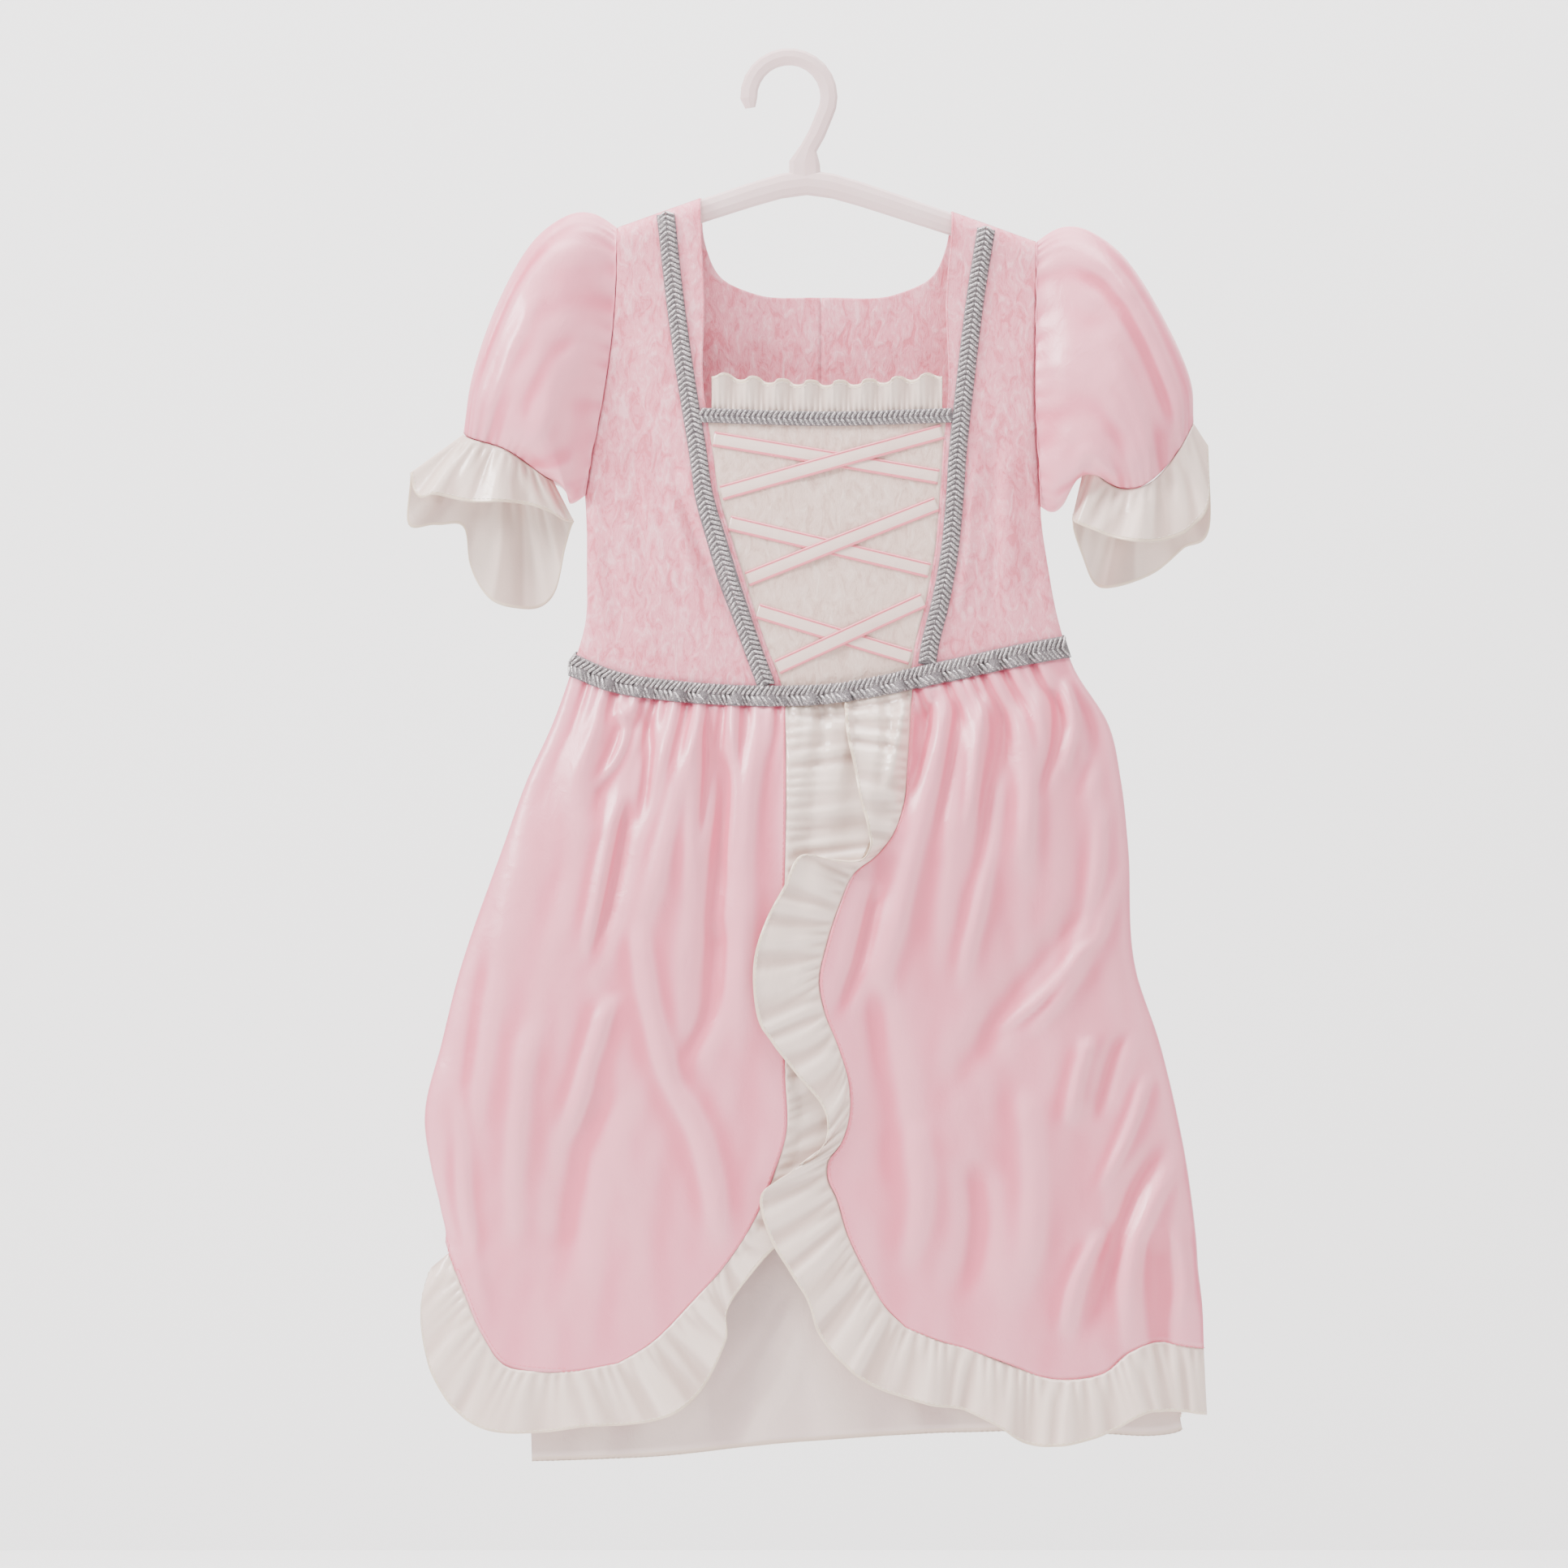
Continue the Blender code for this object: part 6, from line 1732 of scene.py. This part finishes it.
def make_lacing():
    for number, pair in enumerate(zip(LACING[::2], LACING[1::2]), start=1):
        supports = ["bodice_front_centre", "bodice_front_left", "bodice_front_right"]
        for lace in pair:
            left_x = x_at(neck_edge(LEFT_BRAID, 1.0), lace.left_drop) + 1.6
            right_x = x_at(neck_edge(RIGHT_BRAID, -1.0), lace.right_drop) - 1.6
            curve = line((left_x, lace.left_drop), (right_x, lace.right_drop))
            level = "over" if lace.over else "under"
            surface = strip_surface(curve, LACE_WIDTH)
            points, normal = laid_strip(surface, even(90), even(12), FRONT_OUT, supports, RIBBON_THICK, 4)
            bowed = 0.35 * np.sin(math.pi * even(12))[None, :, None]
            points = points + normal * bowed
            edge = np.minimum(lengths_from(points, 1, True), lengths_from(points, 1, False))
            name, node, slot = f"ribbon_{number}_{level}", f"lace_ribbon_{number}_{level}", "lace_ribbon"
            ribbon = cloth(name, points, FRONT_OUT, RIBBON_SATIN, node, RIBBON_THICK, edge=edge)
            lines = [inside_line(points, FRONT_OUT, 1, 0.7, end) for end in (False, True)]
            seams = stitches(f"ribbon_edge_stitches_{number}_{level}", lines, PINK_THREAD, "lace_ribbon", 1.9)
            on_sheet["velvet_front_centre"].extend([ribbon, seams])
            supports.append(node)


def chevron_unit(width):
    """One link of the braid: two fat threads that meet in a V pointing along it."""
    bm = bmesh.new()
    for sign in (-1.0, 1.0):
        limb = unit_capsule(width * 0.62, 0.95, 5)
        turn = Matrix.Rotation(sign * math.radians(55.0), 4, "Z")
        shift = Matrix.Translation((-width * 0.10, sign * width * 0.235, 0.25 * sign))
        limb.transform(shift @ turn)
        part = bpy.data.meshes.new("limb")
        limb.to_mesh(part)
        limb.free()
        bm.from_mesh(part)
        bpy.data.meshes.remove(part)
    return bm


def flattened(points, normal):
    """A strip laid straight across, just clear of each bump that it had followed, and the way it faces."""
    straight = points[:, :1] + (points[:, -1:] - points[:, :1]) * even(points.shape[1] - 1)[None, :, None]
    facing = np.cross(np.gradient(points[:, BRAID_MIDDLE], axis=0), points[:, -1] - points[:, 0])
    facing = facing * np.sign((facing * normal[:, BRAID_MIDDLE]).sum(-1, keepdims=True))
    facing = facing / np.linalg.norm(facing, axis=-1, keepdims=True)
    bump = ((points - straight) * facing[:, None]).sum(-1).max(axis=1)
    rows = np.arange(len(bump))[:, None] + np.arange(-BRAID_STIFF, BRAID_STIFF + 1)
    rows = np.clip(rows, 0, len(bump) - 1)
    clear = bump[rows].max(axis=1)[rows].mean(axis=1)
    return straight + (facing * clear[:, None])[:, None], facing


def make_braids():
    widths = (NECK_BRAID_WIDTH, BRAID_WIDTH, WAIST_BRAID_WIDTH)
    units = {width: unit_object(f"braid_link_{width:.0f}", chevron_unit(width)) for width in widths}

    def lay(name, node, surface, us, width, away, supports, hung_on):
        laid = laid_strip(surface, us, even(2 * BRAID_MIDDLE), away, supports, BRAID_THICK, 5)
        points, normal = flattened(*laid)
        # A dark strip under the links, painted as the shade in the gaps between them.
        gap_shade_strip = cloth(name, points, away, BRAID_GAP_SHADE, node, BRAID_THICK)
        placed = spaced(points[:, BRAID_MIDDLE], normal, BRAID_LINK_STEP)
        links = set_along(f"{name}_links", units[width], *placed, SILVER_YARN, "silver_braid", 0.03, 7)
        on_sheet[hung_on].extend([gap_shade_strip, links])

    sides = ("bodice_front_left", "bodice_front_right")
    for tag, braid in (("left", LEFT_BRAID), ("right", RIGHT_BRAID)):
        rows = cut_at(braid, bottom=float(waist_drop(braid[0][0])) - WAIST_BRAID_WIDTH / 2)
        surface = strip_surface(path(rows), BRAID_WIDTH)
        us = rows_to_shoulder(150, BODICE_TALL)
        name, node, hung_on = f"side_braid_{tag}", f"braid_{tag}", f"velvet_front_{tag}"
        lay(name, node, surface, us, BRAID_WIDTH, FRONT_OUT, sides, hung_on)
    start = (x_at(LEFT_BRAID, NECKLINE_DROP) + BRAID_WIDTH / 2, NECKLINE_DROP)
    end = (x_at(RIGHT_BRAID, NECKLINE_DROP) - BRAID_WIDTH / 2, NECKLINE_DROP)
    sagging = path((start, ((start[0] + end[0]) / 2, NECKLINE_DROP + 2.0), end))
    under = ("bodice_front_centre", "neck_ruffle", *sides)
    surface = strip_surface(sagging, NECK_BRAID_WIDTH)
    name, node, width = "neckline_braid", "braid_neckline", NECK_BRAID_WIDTH
    lay(name, node, surface, even(90), width, FRONT_OUT, under, "velvet_front_centre")
    skirts = ("skirt_left", "skirt_right", "skirt_ruffle_left", "skirt_ruffle_right")
    for tag, side, supports, hung_on in (
        ("front", FRONT, ("bodice_front_centre", *sides, *skirts), "velvet_front_centre"),
        ("back", BACK, ("bodice_back_left", "bodice_back_right", "skirt_back"), "velvet_back_left"),
    ):

        def surface(u, v, side=side):
            turn = (2 * u - 1) * (math.pi / 2 - 2 * SIDE_GAP)
            x = body(turn, np.full(np.shape(turn), WAIST_REST))[..., 0]
            drop = waist_drop(x, side) + (v - 0.5) * WAIST_BRAID_WIDTH
            return body(turn if side > 0 else math.pi - turn, drop)

        name, node, width = f"waist_braid_{tag}", f"braid_waist_{tag}", WAIST_BRAID_WIDTH
        lay(name, node, surface, even(190), width, (0, -side, 0), supports, hung_on)


def clear_from_behind(nodes):
    """Paint that only its front shows, so that a camera behind the wall still sees the dress."""
    backfacing = nodes.add("ShaderNodeNewGeometry", output="Backfacing")
    nothing = nodes.add("ShaderNodeBsdfTransparent")
    painted = Socket(nodes, nodes.shader.outputs["BSDF"])
    both = nodes.add("ShaderNodeMixShader", None, {0: backfacing, 1: painted, 2: nothing})
    nodes.give(nodes.tree.nodes["Material Output"].inputs["Surface"], both)


def make_stage():
    """A pale floor under the dress, a pale wall behind it, soft even light and the camera."""
    for name, size, place, turn in (
        ("floor", 8.0, (0, 0, -1.05), (0, 0, 0)),
        ("back_wall", 8.0, (0, 1.6, 0), (math.radians(90), 0, 0)),
    ):
        bpy.ops.mesh.primitive_plane_add(size=size, location=place, rotation=turn)
        plane = bpy.context.object
        plane.name = name
        nodes = Nodes(f"{name}_paint", Base_Color=(0.9, 0.89, 0.885, 1.0), Roughness=0.9)
        clear_from_behind(nodes)
        plane.data.materials.append(nodes.material)
    world = bpy.data.worlds.new("soft_room")
    bpy.context.scene.world = world
    world.use_nodes = True
    world.node_tree.nodes["Background"].inputs["Color"].default_value = (1.0, 0.985, 0.975, 1.0)
    world.node_tree.nodes["Background"].inputs["Strength"].default_value = ROOM_LIGHT
    for name, size, power, place, aim in (
        ("key_light", 0.7, 84.0, (-2.0, -0.9, 0.7), (0, 0, -0.42)),
        ("front_light", 1.6, 16.0, (-0.6, -2.6, 0.5), (0, 0, -0.42)),
        ("fill_light", 1.4, 10.0, (2.0, -1.2, -0.2), (0, 0, -0.42)),
        ("wall_light", 3.0, 330.0, (0.0, -0.3, 2.4), (0, 1.6, -0.4)),
        ("back_light", 1.6, 16.0, (0.6, 1.3, 0.8), (0, 0, -0.4)),
    ):
        data = bpy.data.lights.new(name, "AREA")
        data.size = size
        data.energy = power
        lamp = bpy.data.objects.new(name, data)
        lamp.location = place
        lamp.rotation_euler = (Vector(aim) - Vector(place)).to_track_quat("-Z", "Y").to_euler()
        bpy.context.scene.collection.objects.link(lamp)
    camera_data = bpy.data.cameras.new("camera")
    camera_data.sensor_width = 36.0
    camera_data.lens = 36.0 * CAMERA_AWAY / FRAME_WIDTH
    camera = bpy.data.objects.new("camera", camera_data)
    camera.location = (FRAME_MIDDLE_X, -CAMERA_AWAY, FRAME_MIDDLE_Z)
    camera.rotation_euler = (math.radians(90), 0, 0)
    bpy.context.scene.collection.objects.link(camera)
    bpy.context.scene.camera = camera


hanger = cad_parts["hanger"]
hanger.data.materials.clear()
hanger.data.materials.append(PLASTIC)
make_bodice()
make_neck_ruffle()
make_sleeves()
make_skirts()
make_underskirt()
make_ruffles()
make_lacing()
make_braids()
make_stage()
